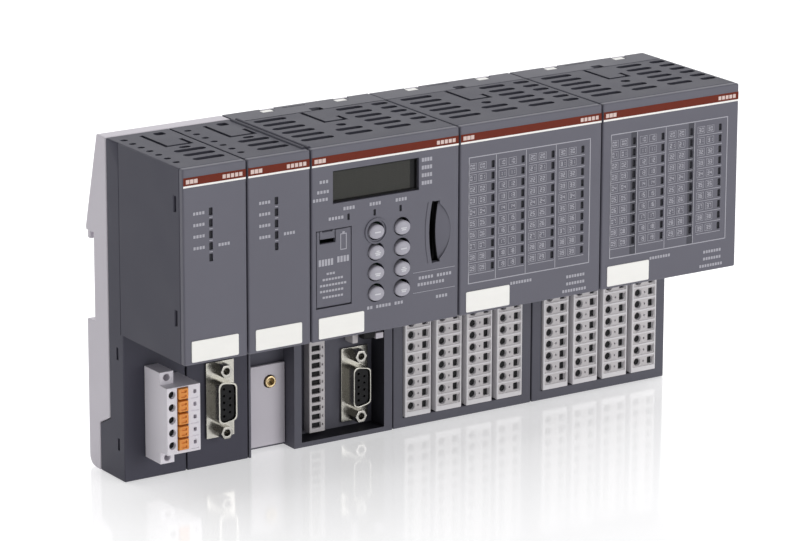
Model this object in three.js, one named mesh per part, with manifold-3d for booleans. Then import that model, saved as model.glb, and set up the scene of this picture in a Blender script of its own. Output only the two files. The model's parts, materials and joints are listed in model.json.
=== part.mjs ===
// Modular programmable controller row for a 35 mm top-hat rail: a terminal base with two communication
// modules and a processor module, and two terminal units, each with an input/output module.
//
// Millimetres. +X runs along the rail (to the right, seen from the front), +Y points to the rear,
// +Z is up. The origin is on the rail seat, at the height of the rail's centre line and in the middle
// of the terminal base.
import * as THREE from 'three';
import { mergeVertices } from 'three/addons/utils/BufferGeometryUtils.js';
import Module from 'manifold-3d';

const wasm = await Module();
wasm.setup();

// ---------------------------------------------------------------- driving dimensions

const NARROW_WIDTH = 28;          // one communication slot
const WIDE_WIDTH = 67.5;          // one processor or input/output slot
const TOP_Z = 57.7;
const BOTTOM_Z = -77.3;
const SPLIT_Z = -18.3;            // lower edge of the plug-in modules
const FRONT_Y = -70;
const TERMINAL_FRONT_Y = -23;     // front of the terminal zone
const FRAME_FRONT_Y = -17;        // front of the upper wall that carries a wide module
const JOIN_Y = -12;               // dark front parts meet the light rear housings
const LOW_JOIN_Y = -4;            // the same joint near the bottom
const REAR_Y = 5;
const TOP_REAR_Y = -4.5;          // the rear slants forward towards the top
const GAP = 0.3;                  // clearance between neighbouring pieces
const WALL = 1.8;

const BASE_WIDTH = 2 * NARROW_WIDTH + WIDE_WIDTH;
const COMM_1_X = -BASE_WIDTH / 2;
const COMM_2_X = COMM_1_X + NARROW_WIDTH;
const CPU_X = COMM_2_X + NARROW_WIDTH;
const UNIT_1_X = CPU_X + WIDE_WIDTH;
const UNIT_2_X = UNIT_1_X + WIDE_WIDTH;

// The joint between dark and light parts steps back near the bottom.
const STEP_TOP_Z = BOTTOM_Z + 23;
const STEP_BOTTOM_Z = BOTTOM_Z + 19;
const HOOD_THICKNESS = 2.3;       // dark roof over the rear housing of a wide slot

// Rail channel.
const CHANNEL_HALF = 17.8;
const CHANNEL_FLOOR_Y = -1;
const SLANT_END_Z = 19.7;
const SEAT_HALF_WIDTH = 15;
const SEAT_HALF_HEIGHT = 11;
const HOOK_FRONT_Y = 1.4;
const HOOK_REAR_Y = 3.6;
const HOOK_DEPTH = 3;
const REAR_CORNER_RADIUS = 4;

// Rail latch.
const LATCH_HALF_WIDTH = 7;
const LATCH_FRONT_Y = 1.4;
const LATCH_REAR_Y = 4.4;
const LATCH_TIP_Z = -14.8;

// Circuit boards and the plug-in contact between a module and its base.
const BOARD = 1.6;
const BASE_BOARD_Y = -10;
const BASE_BOARD_HALF_HEIGHT = 49;
const SOCKET_FRONT_Y = -16.6;
const SOCKET_HALF_WIDTH = 4;
const SOCKET_LOW_Z = 0;
const SOCKET_HIGH_Z = 40;
const TONGUE_TIP_Y = -12.5;
const TONGUE_LOW_Z = 6;
const TONGUE_HIGH_Z = 34;
const CONTACT_SLOT_HALF = 1.2;

// Module front covers and the snap windows that hold them.
const COVER = 2.5;
const RIM = 1.2;
const RIM_DEPTH = 5;
const WINDOW_FRONT_Y = -64.6;
const WINDOW_REAR_Y = -63;
const WINDOW_HEIGHT = 6;
const WINDOW_LOW_ZS = [-4, 40.3];

// Pluggable five-way terminal of communication module 1.
const WAYS = 5;
const WAY_PITCH = 5.08;
const PLUG_X = COMM_1_X + 9.3;
const PLUG_WIDTH = 14.8;
const PLUG_FRONT_Y = -40.5;
const PLUG_LOW_Z = BOTTOM_Z + 14.1;
const PLUG_HIGH_Z = BOTTOM_Z + 41;
const BOSS_WIDTH = 6.2;
const BOSS_FRONT_Y = -35;
const BOSS_HEIGHT = 5;
const SCREW_HOLE_RADIUS = 1.4;
const FIRST_WAY_Z = BOTTOM_Z + 38.1;
const LEVER_X = PLUG_X + 4.9;
const LEVER_WIDTH = 4.2;
const LEVER_HEIGHT = 4.3;
const LEVER_PROUD = 0.9;
const LEVER_LENGTH = 9;
const LEVER_TRAVEL = 1.5;

// Nine-way D-shaped connectors.
const DSUB_FLANGE = { width: 12.5, height: 30.8, thickness: 0.8 };
const DSUB_SHELL = { width: 8.3, height: 16.9, wall: 0.6, length: 6 };
const DSUB_SLANT = Math.tan(THREE.MathUtils.degToRad(10));
const DSUB_CORNER = 2;
const DSUB_COMM_X = COMM_2_X + 14.65;
const DSUB_COMM_Z = BOTTOM_Z + 27;
const DSUB_BASE_X = CPU_X + 54.7;
const DSUB_BASE_Z = BOTTOM_Z + 19.4;

// Wells of the terminal base under the processor module.
const FIELDBUS_WELL = { low: CPU_X + 1.2, high: CPU_X + 21.2, rearY: -14.6 };
const COM_WELL = { low: CPU_X + 24.6, high: CPU_X + 63.4, rearY: -13.5, lipZ: BOTTOM_Z + 2 };
const WELL_TOP_Z = SPLIT_Z - 2.3;
const PLATE = { lowZ: BOTTOM_Z + 1.2, highZ: BOTTOM_Z + 34.6, thickness: 1.5 };
const FIELDBUS_SOCKET = { x: CPU_X + 13.9, z: BOTTOM_Z + 27.6, radius: 2.4, bore: 1.5, proud: 1 };
const COM1_PLUG = { x: CPU_X + 31.3, width: 7.3, frontY: -18, lowZ: BOTTOM_Z + 3.3, highZ: BOTTOM_Z + 41.2 };

// Terminal blocks of a terminal unit.
const BLOCKS = 4;
const BLOCK_WIDTH = 12.4;
const BLOCK_PITCH = 14.85;
const BLOCK_MARGIN = (WIDE_WIDTH - (BLOCKS - 1) * BLOCK_PITCH - BLOCK_WIDTH) / 2;
const BLOCK_FRONT_Y = -24;
const BLOCK_LOW_Z = BOTTOM_Z + 4.3;
const TERMINAL_WELL_REAR_Y = -14;

// Light catches of the rear housing, in notches of the hood.
const CATCH_XS = [20.3, 54.2];
const CATCH_WIDTH = 6;
const CATCH_DEPTH = 1.8;

// Processor module front.
const DISPLAY = { low: CPU_X + 9.8, high: CPU_X + 48.8, lowZ: 35.3, highZ: 48.1, frontY: -69 };
const KEY_XS = [CPU_X + 29.15, CPU_X + 41];
const KEY_ROWS = 4;
const KEY_TOP_Z = 22;
const KEY_PITCH = 8.2;
const KEY_RADIUS = 3.4;
const KEY_PROUD = 1.5;
const KEY_LENGTH = 4;
const CPU_BOARD_Y = -62;
const DOOR = { low: CPU_X + 2.5, high: CPU_X + 17.9, lowZ: -5, highZ: 25.2, thickness: 1.8 };
const DOOR_SLOT = { low: CPU_X + 3.9, high: CPU_X + 10.9, lowZ: 20.2, highZ: 22 };
const BATTERY = { low: CPU_X + 4, high: CPU_X + 16.6, lowZ: -3, highZ: 19.5, frontY: -67.8 };
const CARD = { midZ: 17.6, halfHeight: 12.2, x: CPU_X + 54.85, radius: 55.8, halfWidth: 1.2 };
const THUMB = { radius: 14.8, x: CPU_X + 63.4, depth: 1.2 };
const CARD_SOCKET = { width: 4.4, wall: 0.6, frontY: -67, rearY: -38 };

// ---------------------------------------------------------------- materials

function plastic(color, roughness = 0.6) {
  return new THREE.MeshStandardMaterial({ color, roughness, metalness: 0 });
}

function metal(color, roughness = 0.3) {
  return new THREE.MeshStandardMaterial({ color, roughness, metalness: 1 });
}

const MATERIALS = {
  darkHousing: plastic(0x55565f),
  frontCover: plastic(0x6b6b76),
  rearGrey: plastic(0xb4b0b8),
  terminalGrey: plastic(0xb5b0b0),
  keyGrey: plastic(0xa9a7b2, 0.5),
  leverOrange: plastic(0xe08a3c, 0.5),
  blackInsert: plastic(0x1d1d1f, 0.6),
  boardGreen: plastic(0x1f5a3a, 0.45),
  displayGlass: plastic(0x3b3b37, 0.1),
  shellMetal: metal(0xc6c4bc, 0.25),
  latchPlastic: plastic(0x3a3b41, 0.55),
  batteryMetal: metal(0xb8b8ba, 0.3),
  brass: metal(0xb09050, 0.35),
};

// ---------------------------------------------------------------- solids

/** Turns a closed geometry into a solid that can be joined and cut. */
function solid(geometry) {
  geometry.deleteAttribute('normal');
  geometry.deleteAttribute('uv');
  const merged = mergeVertices(geometry, 1e-4);
  return new wasm.Manifold(new wasm.Mesh({
    numProp: 3,
    vertProperties: new Float32Array(merged.attributes.position.array),
    triVerts: new Uint32Array(merged.index.array),
  }));
}

/** Box between two opposite corners, each [x, y, z]. */
function box(low, high) {
  const size = high.map((value, axis) => value - low[axis]);
  const centre = high.map((value, axis) => (value + low[axis]) / 2);
  return solid(new THREE.BoxGeometry(...size).translate(...centre));
}

/** Extrudes an outline of [y, z] points along X. */
function prismAlongX(outline, lowX, highX) {
  const shape = new THREE.Shape(outline.map(([y, z]) => new THREE.Vector2(y, z)));
  const geometry = new THREE.ExtrudeGeometry(shape, { depth: highX - lowX, bevelEnabled: false });
  const turn = new THREE.Matrix4().makeBasis(
    new THREE.Vector3(0, 1, 0), new THREE.Vector3(0, 0, 1), new THREE.Vector3(1, 0, 0));
  return solid(geometry.applyMatrix4(turn).translate(lowX, 0, 0));
}

/** Extrudes an outline of [x, z] points along Y. */
function prismAlongY(outline, lowY, highY) {
  const shape = new THREE.Shape(outline.map(([x, z]) => new THREE.Vector2(x, z)));
  const geometry = new THREE.ExtrudeGeometry(shape, { depth: highY - lowY, bevelEnabled: false });
  return solid(geometry.rotateX(Math.PI / 2).translate(0, highY, 0));
}

/** Round bar along Y. */
function barAlongY(x, z, radius, lowY, highY, sides = 24) {
  const geometry = new THREE.CylinderGeometry(radius, radius, highY - lowY, sides);
  return solid(geometry.translate(x, (lowY + highY) / 2, z));
}

/** Points of an arc in a plane, angles in degrees. */
function arc(centreU, centreV, radius, startAngle, endAngle, steps) {
  return Array.from({ length: steps + 1 }, (_, index) => {
    const angle = THREE.MathUtils.degToRad(startAngle + (endAngle - startAngle) * index / steps);
    return [centreU + radius * Math.cos(angle), centreV + radius * Math.sin(angle)];
  });
}

function join(...solids) {
  return solids.reduce((whole, piece) => whole.add(piece));
}

function cut(body, ...tools) {
  return tools.reduce((rest, tool) => rest.subtract(tool), body);
}

const row = new THREE.Group();

/** Adds a solid to the row as a named mesh. */
function addPiece(name, body, material) {
  const mesh = body.getMesh();
  const geometry = new THREE.BufferGeometry();
  geometry.setAttribute('position', new THREE.BufferAttribute(mesh.vertProperties, 3));
  geometry.setIndex(new THREE.BufferAttribute(mesh.triVerts, 1));
  geometry.computeVertexNormals();
  const piece = new THREE.Mesh(geometry, material);
  piece.name = name;
  row.add(piece);
}

// ---------------------------------------------------------------- rear housings and rail latches

/** Side outline of a light rear housing with its rail channel, [y, z]. */
function rearOutline(topZ) {
  return [
    [JOIN_Y + GAP, topZ],
    [TOP_REAR_Y, topZ],
    [REAR_Y, SLANT_END_Z],
    [REAR_Y, CHANNEL_HALF],
    [CHANNEL_FLOOR_Y, CHANNEL_HALF],
    [CHANNEL_FLOOR_Y, -CHANNEL_HALF],
    [REAR_Y, -CHANNEL_HALF],
    ...arc(REAR_Y - REAR_CORNER_RADIUS, BOTTOM_Z + REAR_CORNER_RADIUS, REAR_CORNER_RADIUS, 0, -90, 6),
    [LOW_JOIN_Y + GAP, BOTTOM_Z],
    [LOW_JOIN_Y + GAP, STEP_BOTTOM_Z + GAP],
    [JOIN_Y + GAP, STEP_TOP_Z + GAP],
  ];
}

/** Hollow behind the joint that takes the circuit board, [y, z]. */
function rearHollowOutline() {
  return [
    [JOIN_Y - 1, TOP_Z - 4.5],
    [TOP_REAR_Y - 2.5, TOP_Z - 4.5],
    [CHANNEL_FLOOR_Y - 2, TOP_Z - 24],
    [CHANNEL_FLOOR_Y - 2, STEP_TOP_Z + 3],
    [JOIN_Y - 1, STEP_TOP_Z + 3],
  ];
}

function latchGroove(centreX) {
  return box(
    [centreX - LATCH_HALF_WIDTH - GAP, LATCH_FRONT_Y - GAP, BOTTOM_Z - 1],
    [centreX + LATCH_HALF_WIDTH + GAP, REAR_Y + 1, -CHANNEL_HALF + 1]);
}

/** Light rear housing from lowX to highX. The part over wideX and beyond leaves room for the hood. */
function rearHousing(lowX, highX, wideX) {
  const left = lowX + GAP;
  const right = highX - GAP;
  const centreX = (lowX + highX) / 2;
  const hoodZ = TOP_Z - HOOD_THICKNESS - GAP;
  const hook = box(
    [left, HOOK_FRONT_Y, CHANNEL_HALF - HOOK_DEPTH], [right, HOOK_REAR_Y, CHANNEL_HALF + 1]);
  const seat = box(
    [centreX - SEAT_HALF_WIDTH, CHANNEL_FLOOR_Y - 1, -SEAT_HALF_HEIGHT],
    [centreX + SEAT_HALF_WIDTH, 0, SEAT_HALF_HEIGHT]);
  const shell = cut(
    join(prismAlongX(rearOutline(TOP_Z), left, right), hook, seat),
    prismAlongX(rearHollowOutline(), left + WALL, right - WALL),
    latchGroove(centreX),
    box([wideX - GAP, JOIN_Y - 1, hoodZ], [right + 1, REAR_Y, TOP_Z + 1]));
  const catches = CATCH_XS.map((offset) => box(
    [wideX + offset - CATCH_WIDTH / 2, TOP_REAR_Y - CATCH_DEPTH + GAP, hoodZ - 1],
    [wideX + offset + CATCH_WIDTH / 2, TOP_REAR_Y, TOP_Z]));
  return join(shell, ...catches);
}

/** Spring-loaded latch under the rail channel, pulled down to free the unit. */
function railLatch(centreX) {
  const outline = [
    [LATCH_FRONT_Y, BOTTOM_Z],
    [LATCH_REAR_Y, BOTTOM_Z],
    [LATCH_REAR_Y, LATCH_TIP_Z - 2.5],
    [LATCH_FRONT_Y + 0.8, LATCH_TIP_Z],
    [LATCH_FRONT_Y, LATCH_TIP_Z],
  ];
  const screwdriverSlot = box(
    [centreX - 3, LATCH_FRONT_Y - 1, BOTTOM_Z + 1.8], [centreX + 3, LATCH_REAR_Y + 1, BOTTOM_Z + 4.2]);
  const bar = prismAlongX(outline, centreX - LATCH_HALF_WIDTH, centreX + LATCH_HALF_WIDTH);
  return cut(bar, screwdriverSlot);
}

// ---------------------------------------------------------------- dark front frames

/** Side outline of the dark front frame of a wide slot, hood included, [y, z]. */
function frameOutline() {
  const stepZ = SPLIT_Z - GAP;
  return [
    [TERMINAL_FRONT_Y, BOTTOM_Z],
    [LOW_JOIN_Y, BOTTOM_Z],
    [LOW_JOIN_Y, STEP_BOTTOM_Z],
    [JOIN_Y, STEP_TOP_Z],
    [JOIN_Y, TOP_Z - HOOD_THICKNESS],
    [TOP_REAR_Y, TOP_Z - HOOD_THICKNESS],
    [TOP_REAR_Y, TOP_Z],
    [FRAME_FRONT_Y, TOP_Z],
    [FRAME_FRONT_Y, stepZ],
    [TERMINAL_FRONT_Y, stepZ],
  ];
}

/** Window for the contact socket behind a module. */
function socketWindow(centreX, lowY, highY) {
  return box(
    [centreX - SOCKET_HALF_WIDTH - 0.6, lowY, SOCKET_LOW_Z - 0.6],
    [centreX + SOCKET_HALF_WIDTH + 0.6, highY, SOCKET_HIGH_Z + 0.6]);
}

/** Plain frame of one wide slot, with its socket window and hood notches. */
function frontFrame(slotX) {
  const notches = CATCH_XS.map((offset) => box(
    [slotX + offset - CATCH_WIDTH / 2 - GAP, TOP_REAR_Y - CATCH_DEPTH, TOP_Z - HOOD_THICKNESS - 1],
    [slotX + offset + CATCH_WIDTH / 2 + GAP, TOP_REAR_Y + 1, TOP_Z + 1]));
  const lowPocket = box(
    [slotX + GAP + WALL, JOIN_Y, BOTTOM_Z + WALL],
    [slotX + WIDE_WIDTH - GAP - WALL, LOW_JOIN_Y + 1, STEP_BOTTOM_Z + 6]);
  return cut(
    prismAlongX(frameOutline(), slotX + GAP, slotX + WIDE_WIDTH - GAP),
    socketWindow(slotX + WIDE_WIDTH / 2, FRAME_FRONT_Y - 1, JOIN_Y + 1),
    lowPocket,
    ...notches);
}

/** Frame under the processor module: the fieldbus well and the well of the two serial ports. */
function baseFrame() {
  const fieldbusWell = box(
    [FIELDBUS_WELL.low, TERMINAL_FRONT_Y - 1, BOTTOM_Z - 1],
    [FIELDBUS_WELL.high, FIELDBUS_WELL.rearY, WELL_TOP_Z]);
  const comWell = box(
    [COM_WELL.low, TERMINAL_FRONT_Y - 1, COM_WELL.lipZ],
    [COM_WELL.high, COM_WELL.rearY, WELL_TOP_Z]);
  const insertWindow = box(
    [DSUB_BASE_X - DSUB_SHELL.width / 2, COM_WELL.rearY - 1, DSUB_BASE_Z - DSUB_SHELL.height / 2],
    [DSUB_BASE_X + DSUB_SHELL.width / 2, JOIN_Y + 1, DSUB_BASE_Z + DSUB_SHELL.height / 2]);
  const plugWindow = box(
    [COM1_PLUG.x + 1, COM_WELL.rearY - 1, COM1_PLUG.lowZ + 3],
    [COM1_PLUG.x + COM1_PLUG.width - 1, JOIN_Y + 1, COM1_PLUG.highZ - 3]);
  return cut(frontFrame(CPU_X), fieldbusWell, comWell, insertWindow, plugWindow);
}

/** Frame of a terminal unit with one well for its terminal blocks. */
function terminalFrame(slotX) {
  const well = box(
    [slotX + BLOCK_MARGIN - GAP, TERMINAL_FRONT_Y - 1, BLOCK_LOW_Z - GAP],
    [slotX + WIDE_WIDTH - BLOCK_MARGIN + GAP, TERMINAL_WELL_REAR_Y, SPLIT_Z - 1.6]);
  return cut(frontFrame(slotX), well);
}

function terminalBlock(slotX, index) {
  const left = slotX + BLOCK_MARGIN + index * BLOCK_PITCH;
  return box(
    [left, BLOCK_FRONT_Y, BLOCK_LOW_Z],
    [left + BLOCK_WIDTH, TERMINAL_WELL_REAR_Y - GAP, SPLIT_Z - 2]);
}

// ---------------------------------------------------------------- circuit boards

/** Socket on a base board that a module's board edge plugs into. */
function contactSocket(centreX) {
  return cut(
    box(
      [centreX - SOCKET_HALF_WIDTH, SOCKET_FRONT_Y, SOCKET_LOW_Z],
      [centreX + SOCKET_HALF_WIDTH, BASE_BOARD_Y + BOARD / 2, SOCKET_HIGH_Z]),
    box(
      [centreX - CONTACT_SLOT_HALF, SOCKET_FRONT_Y - 1, TONGUE_LOW_Z - GAP],
      [centreX + CONTACT_SLOT_HALF, TONGUE_TIP_Y + 1, TONGUE_HIGH_Z + GAP]));
}

function baseBoard(lowX, highX, socketXs) {
  const margin = WALL + 1;
  const board = box(
    [lowX + margin, BASE_BOARD_Y, -BASE_BOARD_HALF_HEIGHT],
    [highX - margin, BASE_BOARD_Y + BOARD, BASE_BOARD_HALF_HEIGHT]);
  return join(board, ...socketXs.map(contactSocket));
}

/** Edge of a module's board, thin in X, that enters the contact socket. */
function boardTongue(centreX, startY) {
  return box(
    [centreX - BOARD / 2, startY, TONGUE_LOW_Z], [centreX + BOARD / 2, TONGUE_TIP_Y, TONGUE_HIGH_Z]);
}

/** Upright board of a communication module. */
function commBoard(slotX) {
  const centreX = slotX + NARROW_WIDTH / 2;
  const board = box(
    [centreX - BOARD / 2, -61, SPLIT_Z + 3.5], [centreX + BOARD / 2, SOCKET_FRONT_Y - 0.6, TOP_Z - 4]);
  const processor = box([centreX - BOARD / 2 - 2, -50, 4], [centreX, -36, 18]);
  return join(board, processor, boardTongue(centreX, SOCKET_FRONT_Y - 1));
}

/** Board of a wide module, parallel to its front, with a contact tower at the back. */
function wideBoard(slotX) {
  const centreX = slotX + WIDE_WIDTH / 2;
  const board = box(
    [slotX + 5, CPU_BOARD_Y, SPLIT_Z + 5], [slotX + WIDE_WIDTH - 5, CPU_BOARD_Y + BOARD, TOP_Z - 5]);
  const tower = box([centreX - 5, CPU_BOARD_Y, 2], [centreX + 5, FRAME_FRONT_Y - 3, 38]);
  return join(board, tower, boardTongue(centreX, FRAME_FRONT_Y - 4));
}

// ---------------------------------------------------------------- module housings and covers

/** Windows in both side walls for the hooks of the front cover. */
function snapWindows(slotX, width) {
  return WINDOW_LOW_ZS.map((lowZ) => box(
    [slotX - 1, WINDOW_FRONT_Y, lowZ], [slotX + width + 1, WINDOW_REAR_Y, lowZ + WINDOW_HEIGHT]));
}

/** Front cover: a plate with an inner rim and four hooks. */
function frontCover(slotX, width) {
  const left = slotX + GAP;
  const right = slotX + width - GAP;
  const rearY = FRONT_Y + COVER;
  const inset = WALL + GAP;
  const plate = box([left, FRONT_Y, SPLIT_Z], [right, rearY, TOP_Z]);
  const rim = cut(
    box([left + inset, rearY - 1, SPLIT_Z + inset], [right - inset, rearY + RIM_DEPTH, TOP_Z - inset]),
    box(
      [left + inset + RIM, rearY - 2, SPLIT_Z + inset + RIM],
      [right - inset - RIM, rearY + RIM_DEPTH + 1, TOP_Z - inset - RIM]));
  const hooks = WINDOW_LOW_ZS.flatMap((lowZ) => [
    box(
      [left + 1, WINDOW_FRONT_Y + GAP, lowZ + GAP],
      [left + inset + 0.5, WINDOW_REAR_Y - GAP, lowZ + WINDOW_HEIGHT - GAP]),
    box(
      [right - inset - 0.5, WINDOW_FRONT_Y + GAP, lowZ + GAP],
      [right - 1, WINDOW_REAR_Y - GAP, lowZ + WINDOW_HEIGHT - GAP]),
  ]);
  return join(plate, rim, ...hooks);
}

/** Five-sided housing of a wide module, open towards its cover. */
function wideHousing(slotX) {
  const frontY = FRONT_Y + COVER + GAP;
  const rearY = FRAME_FRONT_Y - GAP;
  const left = slotX + GAP;
  const right = slotX + WIDE_WIDTH - GAP;
  return cut(
    box([left, frontY, SPLIT_Z], [right, rearY, TOP_Z]),
    box([left + WALL, frontY - 1, SPLIT_Z + WALL], [right - WALL, rearY - WALL, TOP_Z - WALL]),
    socketWindow(slotX + WIDE_WIDTH / 2, rearY - WALL - 1, rearY + 1),
    ...snapWindows(slotX, WIDE_WIDTH));
}

/** Side outline of a communication module's housing, [y, z], shrunk inwards by inset. */
function commOutline(inset, frontY) {
  const slope = inset / 2;
  return [
    [frontY, TOP_Z - inset],
    [JOIN_Y - inset, TOP_Z - inset],
    [JOIN_Y - inset, STEP_TOP_Z + slope],
    [LOW_JOIN_Y - inset, STEP_BOTTOM_Z + slope],
    [LOW_JOIN_Y - inset, BOTTOM_Z + inset],
    [TERMINAL_FRONT_Y + inset, BOTTOM_Z + inset],
    [TERMINAL_FRONT_Y + inset, SPLIT_Z + inset],
    [frontY, SPLIT_Z + inset],
  ];
}

/** Housing of a communication module: the deep upper box and the flat lower panel in one piece. */
function commHousing(slotX) {
  const frontY = FRONT_Y + COVER + GAP;
  return cut(
    prismAlongX(commOutline(0, frontY), slotX + GAP, slotX + NARROW_WIDTH - GAP),
    prismAlongX(commOutline(WALL, frontY - 1), slotX + GAP + WALL, slotX + NARROW_WIDTH - GAP - WALL),
    socketWindow(slotX + NARROW_WIDTH / 2, JOIN_Y - WALL - 1, JOIN_Y + 1),
    ...snapWindows(slotX, NARROW_WIDTH));
}

// ---------------------------------------------------------------- connectors

/** D-shaped outline with rounded corners, [x, z], standing upright and wider on its left side. */
function dsubOutline(centreX, centreZ, width, height) {
  const halfWidth = width / 2 - DSUB_CORNER;
  const longHalf = height / 2 - DSUB_CORNER;
  const shortHalf = longHalf - 2 * halfWidth * DSUB_SLANT;
  return [
    ...arc(centreX + halfWidth, centreZ + shortHalf, DSUB_CORNER, 0, 80, 4),
    ...arc(centreX - halfWidth, centreZ + longHalf, DSUB_CORNER, 80, 180, 4),
    ...arc(centreX - halfWidth, centreZ - longHalf, DSUB_CORNER, 180, 280, 4),
    ...arc(centreX + halfWidth, centreZ - shortHalf, DSUB_CORNER, 280, 360, 4),
  ];
}

/** Metal shell and flange of a D-shaped connector on a panel whose front is at panelY. */
function dsubShell(centreX, centreZ, panelY) {
  const rearY = panelY - GAP;
  const flangeY = rearY - DSUB_FLANGE.thickness;
  const { width, height, wall, length } = DSUB_SHELL;
  const flange = box(
    [centreX - DSUB_FLANGE.width / 2, flangeY, centreZ - DSUB_FLANGE.height / 2],
    [centreX + DSUB_FLANGE.width / 2, rearY, centreZ + DSUB_FLANGE.height / 2]);
  const tube = prismAlongY(dsubOutline(centreX, centreZ, width, height), flangeY - length, rearY);
  const bore = prismAlongY(
    dsubOutline(centreX, centreZ, width - 2 * wall, height - 2 * wall), flangeY - length - 1, rearY + 1);
  return cut(join(flange, tube), bore);
}

/** Insulating insert that fills the shell and passes through the panel. */
function dsubInsert(centreX, centreZ, panelY, rearY) {
  const shrink = 2 * (DSUB_SHELL.wall + GAP);
  const frontY = panelY - GAP - DSUB_FLANGE.thickness - DSUB_SHELL.length + 0.8;
  const { width, height } = DSUB_SHELL;
  return prismAlongY(dsubOutline(centreX, centreZ, width - shrink, height - shrink), frontY, rearY);
}

/** Pluggable five-way terminal with two flanges, open in front for its release levers. */
function terminalPlug() {
  const right = PLUG_X + PLUG_WIDTH;
  const bossRight = PLUG_X + BOSS_WIDTH;
  const rearY = TERMINAL_FRONT_Y - GAP;
  const body = box([PLUG_X, PLUG_FRONT_Y, PLUG_LOW_Z], [right, rearY, PLUG_HIGH_Z]);
  const topBoss = box([PLUG_X, BOSS_FRONT_Y, PLUG_HIGH_Z - 1], [bossRight, rearY, PLUG_HIGH_Z + BOSS_HEIGHT]);
  const lowBoss = box([PLUG_X, BOSS_FRONT_Y, PLUG_LOW_Z - BOSS_HEIGHT], [bossRight, rearY, PLUG_LOW_Z + 1]);
  const tongue = box([PLUG_X + 3, rearY - 1, PLUG_LOW_Z + 1], [right - 3, rearY + 4, PLUG_HIGH_Z - 1]);
  const leverSlot = box(
    [LEVER_X - GAP, PLUG_FRONT_Y - 1, FIRST_WAY_Z - (WAYS - 1) * WAY_PITCH - LEVER_HEIGHT / 2 - GAP],
    [LEVER_X + LEVER_WIDTH + GAP,
      PLUG_FRONT_Y - LEVER_PROUD + LEVER_LENGTH + LEVER_TRAVEL + GAP,
      FIRST_WAY_Z + LEVER_HEIGHT / 2 + GAP]);
  const holes = [PLUG_HIGH_Z + BOSS_HEIGHT / 2 + 0.2, PLUG_LOW_Z - BOSS_HEIGHT / 2 - 0.2].map((z) =>
    barAlongY(PLUG_X + BOSS_WIDTH / 2, z, SCREW_HOLE_RADIUS, BOSS_FRONT_Y - 1, BOSS_FRONT_Y + 6, 12));
  return cut(join(body, topBoss, lowBoss, tongue), leverSlot, ...holes);
}

function releaseLever(index) {
  const z = FIRST_WAY_Z - index * WAY_PITCH;
  const frontY = PLUG_FRONT_Y - LEVER_PROUD;
  return box(
    [LEVER_X, frontY, z - LEVER_HEIGHT / 2], [LEVER_X + LEVER_WIDTH, frontY + LEVER_LENGTH, z + LEVER_HEIGHT / 2]);
}

// ---------------------------------------------------------------- processor module details

/** Vertical card slot: a narrow arc, [x, z], bulging to the left. */
function cardSlotOutline() {
  const { midZ, halfHeight, x, radius, halfWidth } = CARD;
  const centreX = x + radius;
  const sweep = THREE.MathUtils.radToDeg(Math.asin(halfHeight / radius));
  return [
    ...arc(centreX, midZ, radius + halfWidth, 180 - sweep, 180 + sweep, 8),
    ...arc(centreX, midZ, radius - halfWidth, 180 + sweep, 180 - sweep, 8),
  ];
}

/** Thumb recess between the card slot and an arc bulging to the right, [x, z]. */
function thumbOutline() {
  const { midZ, halfHeight, x, radius } = CARD;
  const sweep = THREE.MathUtils.radToDeg(Math.asin(halfHeight / THUMB.radius));
  const slotSweep = THREE.MathUtils.radToDeg(Math.asin(halfHeight / radius));
  return [
    ...arc(THUMB.x - THUMB.radius, midZ, THUMB.radius, -sweep, sweep, 12),
    ...arc(x + radius, midZ, radius, 180 - slotSweep, 180 + slotSweep, 8),
  ];
}

function keyPlace(index) {
  const column = index % KEY_XS.length;
  const rowIndex = Math.floor(index / KEY_XS.length);
  return { x: KEY_XS[column], z: KEY_TOP_Z - rowIndex * KEY_PITCH };
}

const KEY_COUNT = KEY_XS.length * KEY_ROWS;

/** Processor cover with its display, key, battery and card openings. */
function processorCover() {
  const frontY = FRONT_Y - 1;
  const throughY = FRONT_Y + COVER + 1;
  const display = box(
    [DISPLAY.low, frontY, DISPLAY.lowZ], [DISPLAY.high, throughY, DISPLAY.highZ]);
  const keyHoles = Array.from({ length: KEY_COUNT }, (_, index) => {
    const { x, z } = keyPlace(index);
    return barAlongY(x, z, KEY_RADIUS + GAP, frontY, throughY);
  });
  const doorOpening = box(
    [DOOR.low - GAP, frontY, DOOR.lowZ - GAP], [DOOR.high + GAP, throughY, DOOR.highZ + GAP]);
  const cardSlot = prismAlongY(cardSlotOutline(), frontY, throughY);
  const thumbRecess = prismAlongY(thumbOutline(), frontY, FRONT_Y + THUMB.depth);
  return cut(frontCover(CPU_X, WIDE_WIDTH), display, ...keyHoles, doorOpening, cardSlot, thumbRecess);
}

/** Board of the processor module, cut out round the card socket. */
function processorBoard() {
  const half = CARD_SOCKET.width / 2 + 0.6;
  const notch = box(
    [CARD.x - half, CPU_BOARD_Y - 1, CARD.midZ - CARD.halfHeight - 2],
    [CARD.x + half + 1.4, CPU_BOARD_Y + BOARD + 1, CARD.midZ + CARD.halfHeight + 2]);
  return cut(wideBoard(CPU_X), notch);
}

function displayModule() {
  return box(
    [DISPLAY.low + GAP, DISPLAY.frontY, DISPLAY.lowZ + GAP],
    [DISPLAY.high - GAP, CPU_BOARD_Y - GAP, DISPLAY.highZ - GAP]);
}

function key(index) {
  const { x, z } = keyPlace(index);
  return barAlongY(x, z, KEY_RADIUS, FRONT_Y - KEY_PROUD, FRONT_Y - KEY_PROUD + KEY_LENGTH);
}

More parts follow.
